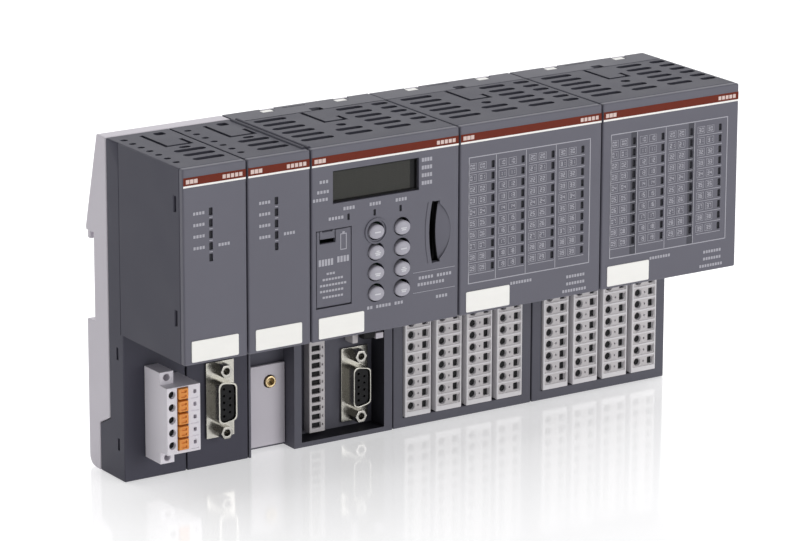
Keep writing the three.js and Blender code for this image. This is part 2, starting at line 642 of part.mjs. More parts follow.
/** Battery door with a rounded lower edge about its hinge and a slot for a fingernail. */
function batteryDoor() {
  const radius = DOOR.thickness / 2;
  const outline = [
    ...arc(FRONT_Y + radius, DOOR.lowZ + radius, radius, 180, 360, 8),
    [FRONT_Y + DOOR.thickness, DOOR.highZ],
    [FRONT_Y, DOOR.highZ],
  ];
  const slot = box(
    [DOOR_SLOT.low, FRONT_Y - 1, DOOR_SLOT.lowZ],
    [DOOR_SLOT.high, FRONT_Y + DOOR.thickness + 1, DOOR_SLOT.highZ]);
  return cut(prismAlongX(outline, DOOR.low, DOOR.high), slot);
}

function battery() {
  return box(
    [BATTERY.low, BATTERY.frontY, BATTERY.lowZ], [BATTERY.high, CPU_BOARD_Y - GAP, BATTERY.highZ]);
}

/** Thin metal cage that guides the memory card. */
function cardSocket() {
  const half = CARD_SOCKET.width / 2;
  const centreX = CARD.x + 0.6;
  const lowZ = CARD.midZ - CARD.halfHeight - 1.2;
  const highZ = CARD.midZ + CARD.halfHeight + 1.2;
  const { wall, frontY, rearY } = CARD_SOCKET;
  return cut(
    box([centreX - half, frontY, lowZ], [centreX + half, rearY, highZ]),
    box([centreX - half + wall, frontY - 1, lowZ + wall], [centreX + half - wall, rearY - wall, highZ - wall]));
}

// ---------------------------------------------------------------- terminal base

function addTerminalBase() {
  const socketXs = [COMM_1_X + NARROW_WIDTH / 2, COMM_2_X + NARROW_WIDTH / 2, CPU_X + WIDE_WIDTH / 2];
  const plateY = FIELDBUS_WELL.rearY - GAP;
  const plate = box(
    [FIELDBUS_WELL.low + GAP, plateY - PLATE.thickness, PLATE.lowZ],
    [FIELDBUS_WELL.high - GAP, plateY, PLATE.highZ]);
  const socket = FIELDBUS_SOCKET;
  const plateHole = barAlongY(socket.x, socket.z, socket.radius + GAP, plateY - 5, plateY + 1);
  const ring = cut(
    barAlongY(socket.x, socket.z, socket.radius, plateY - PLATE.thickness - socket.proud, plateY),
    barAlongY(socket.x, socket.z, socket.bore, plateY - 5, plateY - 0.5));
  const com1 = join(
    box(
      [COM1_PLUG.x, COM1_PLUG.frontY, COM1_PLUG.lowZ],
      [COM1_PLUG.x + COM1_PLUG.width, COM_WELL.rearY - GAP, COM1_PLUG.highZ]),
    box(
      [COM1_PLUG.x + 1.3, COM_WELL.rearY - 1, COM1_PLUG.lowZ + 3.3],
      [COM1_PLUG.x + COM1_PLUG.width - 1.3, JOIN_Y, COM1_PLUG.highZ - 3.3]));
  addPiece('base_rear_housing', rearHousing(COMM_1_X, UNIT_1_X, CPU_X), MATERIALS.rearGrey);
  addPiece('base_front_frame', baseFrame(), MATERIALS.darkHousing);
  addPiece('base_circuit_board', baseBoard(COMM_1_X, UNIT_1_X, socketXs), MATERIALS.boardGreen);
  addPiece('fieldbus_plate', cut(plate, plateHole), MATERIALS.rearGrey);
  addPiece('fieldbus_socket', ring, MATERIALS.brass);
  addPiece('com1_plug', com1, MATERIALS.terminalGrey);
  addPiece('com2_shell', dsubShell(DSUB_BASE_X, DSUB_BASE_Z, COM_WELL.rearY), MATERIALS.shellMetal);
  addPiece('com2_insert', dsubInsert(DSUB_BASE_X, DSUB_BASE_Z, COM_WELL.rearY, JOIN_Y), MATERIALS.blackInsert);
  addPiece('base_rail_latch', railLatch(0), MATERIALS.latchPlastic);
}

// ---------------------------------------------------------------- terminal units

function addTerminalUnit(number, slotX) {
  const name = `terminal_unit_${number}`;
  const centreX = slotX + WIDE_WIDTH / 2;
  addPiece(`${name}_rear_housing`, rearHousing(slotX, slotX + WIDE_WIDTH, slotX), MATERIALS.rearGrey);
  addPiece(`${name}_front_frame`, terminalFrame(slotX), MATERIALS.darkHousing);
  addPiece(`${name}_circuit_board`, baseBoard(slotX, slotX + WIDE_WIDTH, [centreX]), MATERIALS.boardGreen);
  for (let index = 0; index < BLOCKS; index += 1) {
    addPiece(`${name}_block_${index + 1}`, terminalBlock(slotX, index), MATERIALS.terminalGrey);
  }
  addPiece(`${name}_rail_latch`, railLatch(centreX), MATERIALS.latchPlastic);
}

function addIoModule(number, slotX) {
  const name = `io_module_${number}`;
  addPiece(`${name}_housing`, wideHousing(slotX), MATERIALS.darkHousing);
  addPiece(`${name}_front_cover`, frontCover(slotX, WIDE_WIDTH), MATERIALS.frontCover);
  addPiece(`${name}_circuit_board`, wideBoard(slotX), MATERIALS.boardGreen);
}

// ---------------------------------------------------------------- communication modules

function addCommModule1() {
  const plugOpening = box(
    [PLUG_X + 2, TERMINAL_FRONT_Y - 1, PLUG_LOW_Z + 0.4],
    [PLUG_X + PLUG_WIDTH - 2, TERMINAL_FRONT_Y + WALL + 1, PLUG_HIGH_Z - 0.4]);
  addPiece('comm_module_1_housing', cut(commHousing(COMM_1_X), plugOpening), MATERIALS.darkHousing);
  addPiece('comm_module_1_front_cover', frontCover(COMM_1_X, NARROW_WIDTH), MATERIALS.frontCover);
  addPiece('comm_module_1_circuit_board', commBoard(COMM_1_X), MATERIALS.boardGreen);
  addPiece('terminal_plug', terminalPlug(), MATERIALS.terminalGrey);
  for (let index = 0; index < WAYS; index += 1) {
    addPiece(`release_lever_${index + 1}`, releaseLever(index), MATERIALS.leverOrange);
  }
}

function addCommModule2() {
  const halfWidth = DSUB_SHELL.width / 2;
  const halfHeight = DSUB_SHELL.height / 2;
  const insertOpening = box(
    [DSUB_COMM_X - halfWidth, TERMINAL_FRONT_Y - 1, DSUB_COMM_Z - halfHeight],
    [DSUB_COMM_X + halfWidth, TERMINAL_FRONT_Y + WALL + 1, DSUB_COMM_Z + halfHeight]);
  addPiece('comm_module_2_housing', cut(commHousing(COMM_2_X), insertOpening), MATERIALS.darkHousing);
  addPiece('comm_module_2_front_cover', frontCover(COMM_2_X, NARROW_WIDTH), MATERIALS.frontCover);
  addPiece('comm_module_2_circuit_board', commBoard(COMM_2_X), MATERIALS.boardGreen);
  addPiece('dsub_shell', dsubShell(DSUB_COMM_X, DSUB_COMM_Z, TERMINAL_FRONT_Y), MATERIALS.shellMetal);
  addPiece(
    'dsub_insert', dsubInsert(DSUB_COMM_X, DSUB_COMM_Z, TERMINAL_FRONT_Y, TERMINAL_FRONT_Y + 4),
    MATERIALS.blackInsert);
}

// ---------------------------------------------------------------- processor module

function addProcessorModule() {
  addPiece('cpu_housing', wideHousing(CPU_X), MATERIALS.darkHousing);
  addPiece('cpu_front_cover', processorCover(), MATERIALS.frontCover);
  addPiece('cpu_circuit_board', processorBoard(), MATERIALS.boardGreen);
  addPiece('display_module', displayModule(), MATERIALS.displayGlass);
  for (let index = 0; index < KEY_COUNT; index += 1) {
    addPiece(`key_${index + 1}`, key(index), MATERIALS.keyGrey);
  }
  addPiece('battery_door', batteryDoor(), MATERIALS.frontCover);
  addPiece('battery', battery(), MATERIALS.batteryMetal);
  addPiece('card_socket', cardSocket(), MATERIALS.shellMetal);
}

addTerminalBase();
addCommModule1();
addCommModule2();
addProcessorModule();
addTerminalUnit(1, UNIT_1_X);
addTerminalUnit(2, UNIT_2_X);
addIoModule(1, UNIT_1_X);
addIoModule(2, UNIT_2_X);

export default row;
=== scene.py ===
# Looks of a modular programmable controller row: moulded shells with vents, printed fronts, terminal
# blocks and metal connectors, in a plain studio. Lengths are millimetres until a piece is finished.
# +X runs along the rail, +Y points to the rear and +Z up, as in the CAD frame.
import json
import math

import bmesh
import bpy
from mathutils import Matrix, Vector

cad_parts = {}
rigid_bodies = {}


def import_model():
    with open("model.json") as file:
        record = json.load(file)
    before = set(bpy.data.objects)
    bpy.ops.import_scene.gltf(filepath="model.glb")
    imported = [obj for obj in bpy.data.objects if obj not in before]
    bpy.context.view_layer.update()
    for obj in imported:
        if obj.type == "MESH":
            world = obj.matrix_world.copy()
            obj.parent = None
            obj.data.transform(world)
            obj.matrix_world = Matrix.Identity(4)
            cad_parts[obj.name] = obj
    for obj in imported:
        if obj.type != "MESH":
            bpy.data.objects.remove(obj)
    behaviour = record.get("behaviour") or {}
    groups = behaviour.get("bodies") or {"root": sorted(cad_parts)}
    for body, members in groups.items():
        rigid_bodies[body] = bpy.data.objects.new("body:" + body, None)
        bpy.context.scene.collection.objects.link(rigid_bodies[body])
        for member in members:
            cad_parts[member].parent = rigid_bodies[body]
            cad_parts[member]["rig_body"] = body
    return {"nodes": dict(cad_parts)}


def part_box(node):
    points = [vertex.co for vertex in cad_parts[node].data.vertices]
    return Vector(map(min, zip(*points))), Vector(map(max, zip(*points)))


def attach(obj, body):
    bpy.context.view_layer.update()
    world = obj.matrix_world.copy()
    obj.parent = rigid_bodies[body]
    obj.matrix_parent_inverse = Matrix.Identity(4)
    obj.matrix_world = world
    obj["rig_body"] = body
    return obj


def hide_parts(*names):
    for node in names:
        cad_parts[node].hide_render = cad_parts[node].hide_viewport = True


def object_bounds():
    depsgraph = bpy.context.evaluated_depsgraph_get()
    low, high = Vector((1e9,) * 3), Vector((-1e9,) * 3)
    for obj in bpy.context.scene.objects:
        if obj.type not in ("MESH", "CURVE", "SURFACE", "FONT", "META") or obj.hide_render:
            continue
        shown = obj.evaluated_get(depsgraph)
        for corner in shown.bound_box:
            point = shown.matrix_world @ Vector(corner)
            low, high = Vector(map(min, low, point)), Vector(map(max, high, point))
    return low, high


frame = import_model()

MM = 0.001
CAD_LOW, CAD_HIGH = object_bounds()
TOP_Z = CAD_HIGH.z / MM

CLEARANCE = 0.3  # between a module and the edge of its place
PROUD = 0.06  # how far a printed mark stands out of its surface
SUNK = 0.1  # how far a plate reaches into it
NEAR = 0.02  # places closer than this count as the same
SMOOTH_ANGLE = 32  # degrees; faces that meet more sharply keep their edge
UNITS = ("terminal_unit_1", "terminal_unit_2")


# ---- the frame

def cad_box(node):
    """Lowest and highest corner of a CAD node, in millimetres."""
    low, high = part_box(node)
    return low / MM, high / MM


def body_of(node):
    return frame["nodes"][node]["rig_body"]


class Place:
    """The place of one plug-in module in the row, from its CAD cover."""

    def __init__(self, name):
        self.name = name
        self.cover = f"{name}_front_cover"
        self.housing = f"{name}_housing"
        self.body = body_of(self.cover)
        low, high = cad_box(self.cover)
        self.left = low.x - CLEARANCE
        self.right = high.x + CLEARANCE
        self.front = low.y
        self.low = low.z
        self.top = high.z

    def print_on(self, name, rectangles, ink, slot, lift=0.0, proud=PROUD):
        """Adds thin plates of ink to the front of the cover."""
        add_plates(f"{self.name}_{name}", rectangles, self.front - lift, ink, self.body, proud)


COMM_PLACES = [Place("comm_module_1"), Place("comm_module_2")]
CPU_PLACE = Place("cpu")
IO_PLACES = [Place("io_module_1"), Place("io_module_2")]
PLACES = [*COMM_PLACES, CPU_PLACE, *IO_PLACES]


# ---- shapes

def add_box(body, low, high):
    """Adds a box between two opposite corners."""
    size = [end - start for start, end in zip(low, high)]
    centre = [(start + end) / 2 for start, end in zip(low, high)]
    matrix = Matrix.Translation(centre) @ Matrix.Diagonal((*size, 1))
    bmesh.ops.create_cube(body, size=1, matrix=matrix)


def add_prism(body, outline, axis, low, high):
    """Adds an outline of the two other coordinates, in x, y, z order, extruded along an axis."""
    def ring(along):
        places = [list(point) for point in outline]
        for place in places:
            place.insert("XYZ".index(axis), along)
        return [body.verts.new(place) for place in places]

    start, end = ring(low), ring(high)
    body.faces.new(start)
    body.faces.new(end)
    for index in range(len(outline)):
        following = (index + 1) % len(outline)
        body.faces.new((start[index], start[following], end[following], end[index]))


def add_turned(body, x, z, profile, sides=32):
    """Adds a shape turned about an axis along Y; the profile is [radius, y] from front to rear."""
    angles = [2 * math.pi * side / sides for side in range(sides)]
    rings = [[body.verts.new((x + radius * math.cos(angle), y, z + radius * math.sin(angle)))
              for angle in angles] for radius, y in profile]
    body.faces.new(rings[0])
    body.faces.new(rings[-1])
    for ring, following in zip(rings, rings[1:]):
        for side in range(sides):
            beside = (side + 1) % sides
            body.faces.new((ring[side], ring[beside], following[beside], following[side]))


def add_bar(body, x, z, radius, low_y, high_y, sides=24):
    """Adds a round bar along Y."""
    add_turned(body, x, z, [(radius, low_y), (radius, high_y)], sides)


def sink(tool, outline, front, depth):
    """Adds an outline that reaches from before a front face to a depth behind it."""
    add_prism(tool, outline, "Y", front - 1, front + depth)


def circle_arc(centre_u, centre_v, radius, start, end, steps):
    """Points of an arc, angles in degrees."""
    turns = [math.radians(start + (end - start) * step / steps) for step in range(steps + 1)]
    return [(centre_u + radius * math.cos(turn), centre_v + radius * math.sin(turn)) for turn in turns]


def rounded(low_u, low_v, high_u, high_v, radius, steps=3):
    """Outline of a rectangle with round corners."""
    corners = ((high_u, high_v, -1, -1, 0), (low_u, high_v, 1, -1, 90),
               (low_u, low_v, 1, 1, 180), (high_u, low_v, -1, 1, 270))
    outline = []
    for u, v, side_u, side_v, start in corners:
        outline += circle_arc(u + side_u * radius, v + side_v * radius, radius, start, start + 90, steps)
    return outline


def hexagon(centre_u, centre_v, across_flats):
    return circle_arc(centre_u, centre_v, across_flats / math.sqrt(3), 0, 300, 5)


def carried(node):
    """The CAD solid of a node as an editable body, with its flat faces whole again."""
    body = bmesh.new()
    body.from_mesh(frame["nodes"][node].data)
    bmesh.ops.scale(body, vec=(1 / MM,) * 3, verts=body.verts)
    bmesh.ops.remove_doubles(body, verts=body.verts, dist=0.005)
    bmesh.ops.dissolve_limit(body, angle_limit=math.radians(0.5), verts=body.verts, edges=body.edges)
    return body


def show(thing):
    bpy.context.scene.collection.objects.link(thing)
    return thing


def as_object(name, body):
    """Turns a body into an object of the scene."""
    mesh = bpy.data.meshes.new(name)
    body.to_mesh(mesh)
    body.free()
    return show(bpy.data.objects.new(name, mesh))


def held(body):
    """A temporary object that holds a body for a boolean."""
    bmesh.ops.remove_doubles(body, verts=body.verts, dist=0.0005)
    bmesh.ops.recalc_face_normals(body, faces=body.faces)
    return as_object("held", body)


def combine(body, tool, operation="DIFFERENCE"):
    """Cuts a tool's shape out of a body, or joins the two."""
    work = held(body)
    knife = held(tool)
    modifier = work.modifiers.new("combine", "BOOLEAN")
    modifier.operation = operation
    modifier.solver = "EXACT"
    modifier.object = knife
    result = bmesh.new()
    result.from_object(work, bpy.context.evaluated_depsgraph_get())
    for thing in (work, knife):
        mesh = thing.data
        bpy.data.objects.remove(thing)
        bpy.data.meshes.remove(mesh)
    return result


def round_edges(body, width, segments=2, chosen=None):
    """Rounds the sharp outward edges of a body, or those of them that chosen accepts."""
    edges = [edge for edge in body.edges
             if edge.is_manifold and edge.is_convex and edge.calc_face_angle(0) > math.radians(30)
             and (chosen is None or chosen(edge))]
    bmesh.ops.bevel(body, geom=edges, offset=width, segments=segments, profile=0.5,
                    affect="EDGES", clamp_overlap=True)


def lies_at(coordinate, *values):
    """A test for edges whose two ends both have one of the values in a coordinate."""
    def test(edge):
        places = [corner.co[coordinate] for corner in edge.verts]
        return any(all(abs(place - value) < NEAR for place in places) for value in values)
    return test


def smoothed(node, width, segments=2, chosen=None):
    """The CAD solid of a node as an editable body with rounded edges."""
    body = carried(node)
    round_edges(body, width, segments, chosen)
    return body


def add_piece(name, body, material, rides_on, replaced=()):
    """Finishes a body in metres as a piece that rides on a CAD body."""
    bmesh.ops.scale(body, vec=(MM,) * 3, verts=body.verts)
    bmesh.ops.recalc_face_normals(body, faces=body.faces)
    piece = as_object(name, body)
    piece.data.materials.append(material)
    piece.data.shade_smooth()
    piece.data.set_sharp_from_angle(angle=math.radians(SMOOTH_ANGLE))
    normals = piece.modifiers.new("face_weighted_normals", "WEIGHTED_NORMAL")
    normals.keep_sharp = True
    normals.weight = 100
    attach(piece, rides_on)
    if replaced:
        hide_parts(*replaced)
    return piece


def paint_faces(piece, material, chosen):
    """Gives a second finish to the faces that chosen accepts, by middle in millimetres and normal."""
    piece.data.materials.append(material)
    for face in piece.data.polygons:
        if chosen(face.center / MM, face.normal):
            face.material_index = 1


def stand_for(node, body, material):
    """Finishes a body as the detailed piece that replaces a CAD node."""
    return add_piece(f"{node}_detailed", body, material, body_of(node), (node,))


def add_plates(name, rectangles, front, material, rides_on, proud=PROUD):
    """Thin flat plates on a front face; each rectangle is low x, low z, high x, high z."""
    body = bmesh.new()
    for low_x, low_z, high_x, high_z in rectangles:
        add_box(body, (low_x, front - proud, low_z), (high_x, front + SUNK, high_z))
    return add_piece(name, body, material, rides_on)


# ---- printed marks

DIGIT_BARS = ("abcdef", "bc", "abdeg", "abcdg", "bcfg", "acdfg", "acdefg", "abc", "abcdefg", "abcdfg")


def digit(value, left, low, width, height, stroke=0.2):
    """Bars of one plain seven-bar numeral."""
    right, high, middle = left + width, low + height, low + height / 2
    half = stroke / 2
    places = {
        "a": (left, high - stroke, right, high),
        "b": (right - stroke, middle + half, right, high - stroke),
        "c": (right - stroke, low + stroke, right, middle - half),
        "d": (left, low, right, low + stroke),
        "e": (left, low + stroke, left + stroke, middle - half),
        "f": (left, middle + half, left + stroke, high - stroke),
        "g": (left, middle - half, right, middle + half),
    }
    return [places[bar] for bar in DIGIT_BARS[value]]


def dashes(left, low, count, width=0.9, height=1.15, gap=0.4):
    """A row of small plain blocks that stands for a printed name."""
    return [(left + index * (width + gap), low, left + index * (width + gap) + width, low + height)
            for index in range(count)]


def outline_bars(low_x, low_z, high_x, high_z, stroke):
    """Four bars round a rectangle."""
    return [(low_x, low_z, high_x, low_z + stroke), (low_x, high_z - stroke, high_x, high_z),
            (low_x, low_z + stroke, low_x + stroke, high_z - stroke),
            (high_x - stroke, low_z + stroke, high_x, high_z - stroke)]


# ---- materials

def set_inputs(node, settings):
    """Sets input values of a shader node by name."""
    for name, value in settings.items():
        node.inputs[name].default_value = value


def add_node(tree, kind, settings):
    """Adds a shader node with its input values."""
    node = tree.nodes.new(kind)
    set_inputs(node, settings)
    return node


def link(source, output, target, name):
    """Connects an output of one shader node to an input of another."""
    source.id_data.links.new(source.outputs[output], target.inputs[name])


def tone(color, factor=1.0):
    """A colour, lighter or darker, with full alpha."""
    return (*[part * factor for part in color], 1)


def new_material(name, color, roughness, metallic=0.0, specular=0.5):
    """A material and its shader."""
    material = bpy.data.materials.new(name)
    material.use_nodes = True
    shader = material.node_tree.nodes["Principled BSDF"]
    set_inputs(shader, {"Base Color": tone(color), "Roughness": roughness, "Metallic": metallic,
                        "Specular IOR Level": specular})
    return material, shader


def add_noise(shader, scale, detail=2.0, stretch=(1, 1, 1)):
    """Noise in object coordinates, its scale in waves per metre."""
    tree = shader.id_data
    place = add_node(tree, "ShaderNodeTexCoord", {})
    mapping = add_node(tree, "ShaderNodeMapping", {"Scale": stretch})
    noise = add_node(tree, "ShaderNodeTexNoise", {"Scale": scale, "Detail": detail})
    link(place, "Object", mapping, "Vector")
    link(mapping, "Vector", noise, "Vector")
    return noise


def add_cells(shader, color, size, line, second_tone, line_tone, offset=0.5, turn=0):
    """Colours in rows of cells with lines between them, sizes in millimetres."""
    tree = shader.id_data
    place = add_node(tree, "ShaderNodeTexCoord", {})
    mapping = add_node(tree, "ShaderNodeMapping", {"Rotation": (math.radians(turn), 0, 0)})
    cells = add_node(tree, "ShaderNodeTexBrick", {
        "Scale": 1 / MM, "Brick Width": size[0], "Row Height": size[1], "Mortar Size": line,
        "Color1": tone(color), "Color2": tone(color, second_tone), "Mortar": tone(color, line_tone)})
    cells.offset = offset
    link(place, "Object", mapping, "Vector")
    link(mapping, "Vector", cells, "Vector")
    link(cells, "Color", shader, "Base Color")


def vary_color(shader, color, noise, spread):
    """Lets the colour drift a little to both sides with the noise."""
    mix = shader.id_data.nodes.new("ShaderNodeMix")
    mix.data_type = "RGBA"
    set_inputs(mix, {"A": tone(color, 1 - spread), "B": tone(color, 1 + spread)})
    link(noise, "Fac", mix, "Factor")
    link(mix, "Result", shader, "Base Color")


def vary_roughness(shader, noise, low, high):
    """Lets the roughness drift with the noise."""
    spread = add_node(shader.id_data, "ShaderNodeMapRange", {"To Min": low, "To Max": high})
    link(noise, "Fac", spread, "Value")
    link(spread, "Result", shader, "Roughness")


def add_bump(shader, noise, depth):
    """Relief from noise, its depth in millimetres."""
    bump = add_node(shader.id_data, "ShaderNodeBump", {"Distance": depth * MM, "Strength": 1.0})
    link(noise, "Fac", bump, "Height")
    link(bump, "Normal", shader, "Normal")


def moulded_plastic(name, color, roughness, grain=0.03, specular=0.4):
    """Moulded plastic: eroded grain, faint flow clouds and uneven gloss."""
    material, shader = new_material(name, color, roughness, specular=specular)
    vary_color(shader, color, add_noise(shader, 28, 3), 0.07)
    vary_roughness(shader, add_noise(shader, 60, 2), roughness - 0.06, roughness + 0.06)
    add_bump(shader, add_noise(shader, 2200, 2), grain)
    return material


def printed_ink(name, color, roughness=0.5, specular=0.3):
    """Pad-printed ink with a slightly uneven coat."""
    material, shader = new_material(name, color, roughness, specular=specular)
    vary_color(shader, color, add_noise(shader, 420, 3), 0.08)
    add_bump(shader, add_noise(shader, 1500, 1), 0.008)
    return material


def label_film_and_catch_highlight(name, color):
    """White write-on film with a faint fibre."""
    material, shader = new_material(name, color, 0.42, specular=0.4)
    vary_color(shader, color, add_noise(shader, 150, 4, (1, 1, 3)), 0.025)
    add_bump(shader, add_noise(shader, 900, 3, (1, 1, 4)), 0.01)
    return material


def bare_metal(name, color, roughness, dents=0.02, brushed=(1, 1, 1)):
    """Plated or turned metal: uneven polish and shallow dents."""
    material, shader = new_material(name, color, roughness, metallic=1.0)
    vary_color(shader, color, add_noise(shader, 180, 3), 0.08)
    polish = add_noise(shader, 500, 3, brushed)
    vary_roughness(shader, polish, roughness - 0.07, roughness + 0.12)
    add_bump(shader, add_noise(shader, 260, 2, brushed), dents)
    return material


def lens_plastic(name, color):
    """Smoked clear plastic of the indicator windows."""
    material, shader = new_material(name, color, 0.35, specular=0.15)
    vary_color(shader, color, add_noise(shader, 300, 2), 0.15)
    return material


def display_pane(name, color):
    """Dark liquid crystal under a glossy window, with its fine grid of cells."""
    material, shader = new_material(name, color, 0.14, specular=0.15)
    add_cells(shader, color, (0.62, 0.7), 0.05, 1.06, 0.8, offset=0.0, turn=90)
    return material


def circuit_board(name, color):
    """Green solder mask over a pattern of copper tracks."""
    material, shader = new_material(name, color, 0.35)
    add_cells(shader, color, (3.2, 1.1), 0.14, 0.85, 1.6)
    add_bump(shader, add_noise(shader, 700, 2), 0.02)
    return material


HOUSING = moulded_plastic("housing_plastic", (0.06, 0.059, 0.08), 0.52, specular=0.2)
FRAME = moulded_plastic("frame_plastic", (0.095, 0.094, 0.117), 0.5, specular=0.25)
# Painted shade: near black for the floor and right side of the serial-port well, which are of the frame's
# plastic in deep shade.
WELL = moulded_plastic("well_painted_shade", (0.025, 0.025, 0.032), 0.55, specular=0.1)
COVER = moulded_plastic("cover_plastic", (0.108, 0.106, 0.134), 0.5)
REAR = moulded_plastic("rear_plastic", (0.57, 0.54, 0.59), 0.5)
# Grey terminal plastic, also laid as painted shade on the pocket floors of the terminal blocks.
TERMINAL_AND_POCKET_SHADE = moulded_plastic("terminal_plastic_and_pocket_shade", (0.52, 0.495, 0.505), 0.46, 0.015)
BLOCK = moulded_plastic("block_plastic", (0.68, 0.66, 0.68), 0.44, 0.015)
PLUG = moulded_plastic("plug_plastic", (0.72, 0.69, 0.74), 0.46, 0.015)
KEY = moulded_plastic("key_plastic", (0.36, 0.35, 0.4), 0.4, 0.01)
LEVER = moulded_plastic("lever_plastic", (0.74, 0.27, 0.045), 0.38, 0.01)
# Black plastic of the connector inserts and sockets, also laid as painted shade: the fills down the holes of
# the plugs and blocks, the walls of the card slot, partly the display rim, and the plate on the display
# pane.
BLACK = moulded_plastic("black_plastic_and_painted_shade", (0.009, 0.009, 0.01), 0.42, 0.01, specular=0.12)
LATCH = moulded_plastic("latch_plastic", (0.045, 0.047, 0.055), 0.45)
# White label film, also laid as a painted highlight on the catches of the rear housings.
LABEL_AND_CATCH_HIGHLIGHT = label_film_and_catch_highlight("label_film_and_catch_highlight", (0.86, 0.85, 0.82))
BAND = printed_ink("band_ink", (0.14, 0.019, 0.008), 0.42, 0.12)
PRINT = printed_ink("print_ink", (0.39, 0.385, 0.43))
SIGN = printed_ink("sign_ink", (0.6, 0.6, 0.63))
BAND_PRINT = printed_ink("band_print_ink", (0.66, 0.52, 0.48))
STRIP_INK = printed_ink("strip_ink", (0.05, 0.05, 0.065))
LENS = lens_plastic("indicator_lens", (0.01, 0.01, 0.015))
PANE = display_pane("display_pane", (0.029, 0.029, 0.025))
SHELL_METAL = bare_metal("tinned_steel", (0.34, 0.33, 0.3), 0.22)
SCREW_METAL = bare_metal("screw_steel", (0.3, 0.29, 0.27), 0.24, 0.01)
BRASS = bare_metal("turned_brass", (0.45, 0.35, 0.2), 0.25, 0.01)
WRAP = bare_metal("battery_can", (0.17, 0.17, 0.18), 0.35, 0.01)
BOARD = circuit_board("circuit_board", (0.012, 0.085, 0.04))


# ---- module fronts

STRIP = 3.3  # plain strip above the colour band
BAND_HEIGHT = 3.1
LINE_HEIGHT = 0.75
LABEL_BOX = (3.3, 1.1, 23.7, 9.3)
LABEL_THICKNESS = 0.25
EDGE_ROUNDING = 0.7
WINDOW_DEPTH = 0.9
LENS_RECESS = 0.5


def rounded_cover(place):
    """The CAD cover with the rim of its front face rounded."""
    sides = lies_at(0, place.left + CLEARANCE, place.right - CLEARANCE)
    ends = lies_at(2, place.low, place.top)
    front = lies_at(1, place.front)
    return smoothed(place.cover, EDGE_ROUNDING, 3,
                    lambda edge: [front(edge), sides(edge), ends(edge)].count(True) > 1)


def add_band(place):
    """Colour band and thin line under the top edge, with plain blocks where names would be."""
    low = place.top - STRIP - BAND_HEIGHT
    inset = CLEARANCE + 0.25
    left, right = place.left + inset, place.right - inset
    place.print_on("band", [(left, low, right, low + BAND_HEIGHT)], BAND, "band_orange")
    marks = dashes(place.left + 1.6, low + 0.7, 3, 1.5, 1.6, 0.25)
    marks += dashes(place.right - 10.6, low + 0.75, 5, 1.35, 1.5, 0.45)
    place.print_on("band_line", [(left, low - LINE_HEIGHT, right, low - NEAR)], LABEL_AND_CATCH_HIGHLIGHT, "label_white")
    place.print_on("band_marks", marks, BAND_PRINT, "print_white", lift=PROUD)


def add_label(place):
    """White label plate with round corners near the lower edge."""
    left, low, right, high = LABEL_BOX
    body = bmesh.new()
    outline = rounded(place.left + left, place.low + low, place.left + right, place.low + high, 0.5)
    add_prism(body, outline, "Y", place.front - LABEL_THICKNESS, place.front + SUNK)
    round_edges(body, 0.1, 1, lies_at(1, place.front - LABEL_THICKNESS))
    add_piece(f"{place.name}_label", body, LABEL_AND_CATCH_HIGHLIGHT, place.body)


def window_outline(window, margin):
    """Outline of one indicator window, given as centre x, centre z, width and height."""
    x, z, width, height = window
    half_width, half_height = width / 2 - margin, height / 2 - margin
    return rounded(x - half_width, z - half_height, x + half_width, z + half_height, 0.25 - margin, 2)


def cut_windows(body, place, windows):
    """Cuts pockets for the indicator windows into a cover."""
    tool = bmesh.new()
    for window in windows:
        sink(tool, window_outline(window, 0), place.front, WINDOW_DEPTH)
    return combine(body, tool)


def add_windows(place, windows):
    """Smoked lenses in the pockets."""
    body = bmesh.new()
    for window in windows:
        add_prism(body, window_outline(window, 0.03), "Y", place.front + LENS_RECESS,
                  place.front + WINDOW_DEPTH - NEAR)
    add_piece(f"{place.name}_windows", body, LENS, place.body)


def build_cover(place, windows):
    """Cover with its indicator windows."""
    stand_for(place.cover, cut_windows(rounded_cover(place), place, windows), COVER)
    add_windows(place, windows)


COMM_WINDOW_XS = (12.2, 12.8)
COMM_WINDOWS = 5
COMM_FIRST_WINDOW = 17.5
COMM_WINDOW_PITCH = 4.45


def build_comm_front(place, window_x):
    """Cover of a communication module: five indicators with their printed names."""
    x = place.left + window_x
    zs = [place.top - COMM_FIRST_WINDOW - index * COMM_WINDOW_PITCH for index in range(COMM_WINDOWS)]
    windows = [(x, z, 1.6, 3.0) for z in zs]
    build_cover(place, windows)
    marks = []
    for z in zs[:4]:
        marks += dashes(x - 7.6, z - 0.6, 4)
    marks += dashes(x + 3.2, zs[3] - 0.6, 4)
    for z in zs[1:]:
        middle = z + COMM_WINDOW_PITCH / 2
        marks.append((x - 0.7, middle - 0.12, x + 0.7, middle + 0.12))
    place.print_on("print", marks, PRINT, "print_white")


IO_COLUMNS = (15.6, 29.7, 43.9, 58.2)
IO_ROWS = 10
IO_FIRST_ROW = 16.8
IO_ROW_PITCH = 4.53
IO_TABLE = (4.2, 12.4, 61.9, 12.8)


def io_cell_marks(window_x, z, column, row):
    """Two printed numbers in their boxes, left of one indicator."""
    number = column * IO_ROWS + row
    marks = []
    for left, values in ((window_x - 10.9, (column, row)), (window_x - 6.3, (number // 10, number % 10))):
        marks += outline_bars(left - 0.45, z - 1.45, left + 3.15, z + 1.45, 0.13)
        for index, value in enumerate(values):
            marks += digit(value, left + 0.25 + index * 1.25, z - 0.85, 0.95, 1.7, 0.26)
    return marks


def window_strip(x, rows, low_z, high_z):
    """Dark printed strip round one column of windows."""
    half_width, half_height = 0.75, 1.45
    strip = [(x - 1.5, low_z, x - half_width, high_z), (x + half_width, low_z, x + 1.3, high_z)]
    ends = [high_z, *[z - half_height for z in rows]]
    starts = [*[z + half_height for z in rows], low_z]
    return strip + [(x - half_width, start, x + half_width, end) for start, end in zip(starts, ends)]


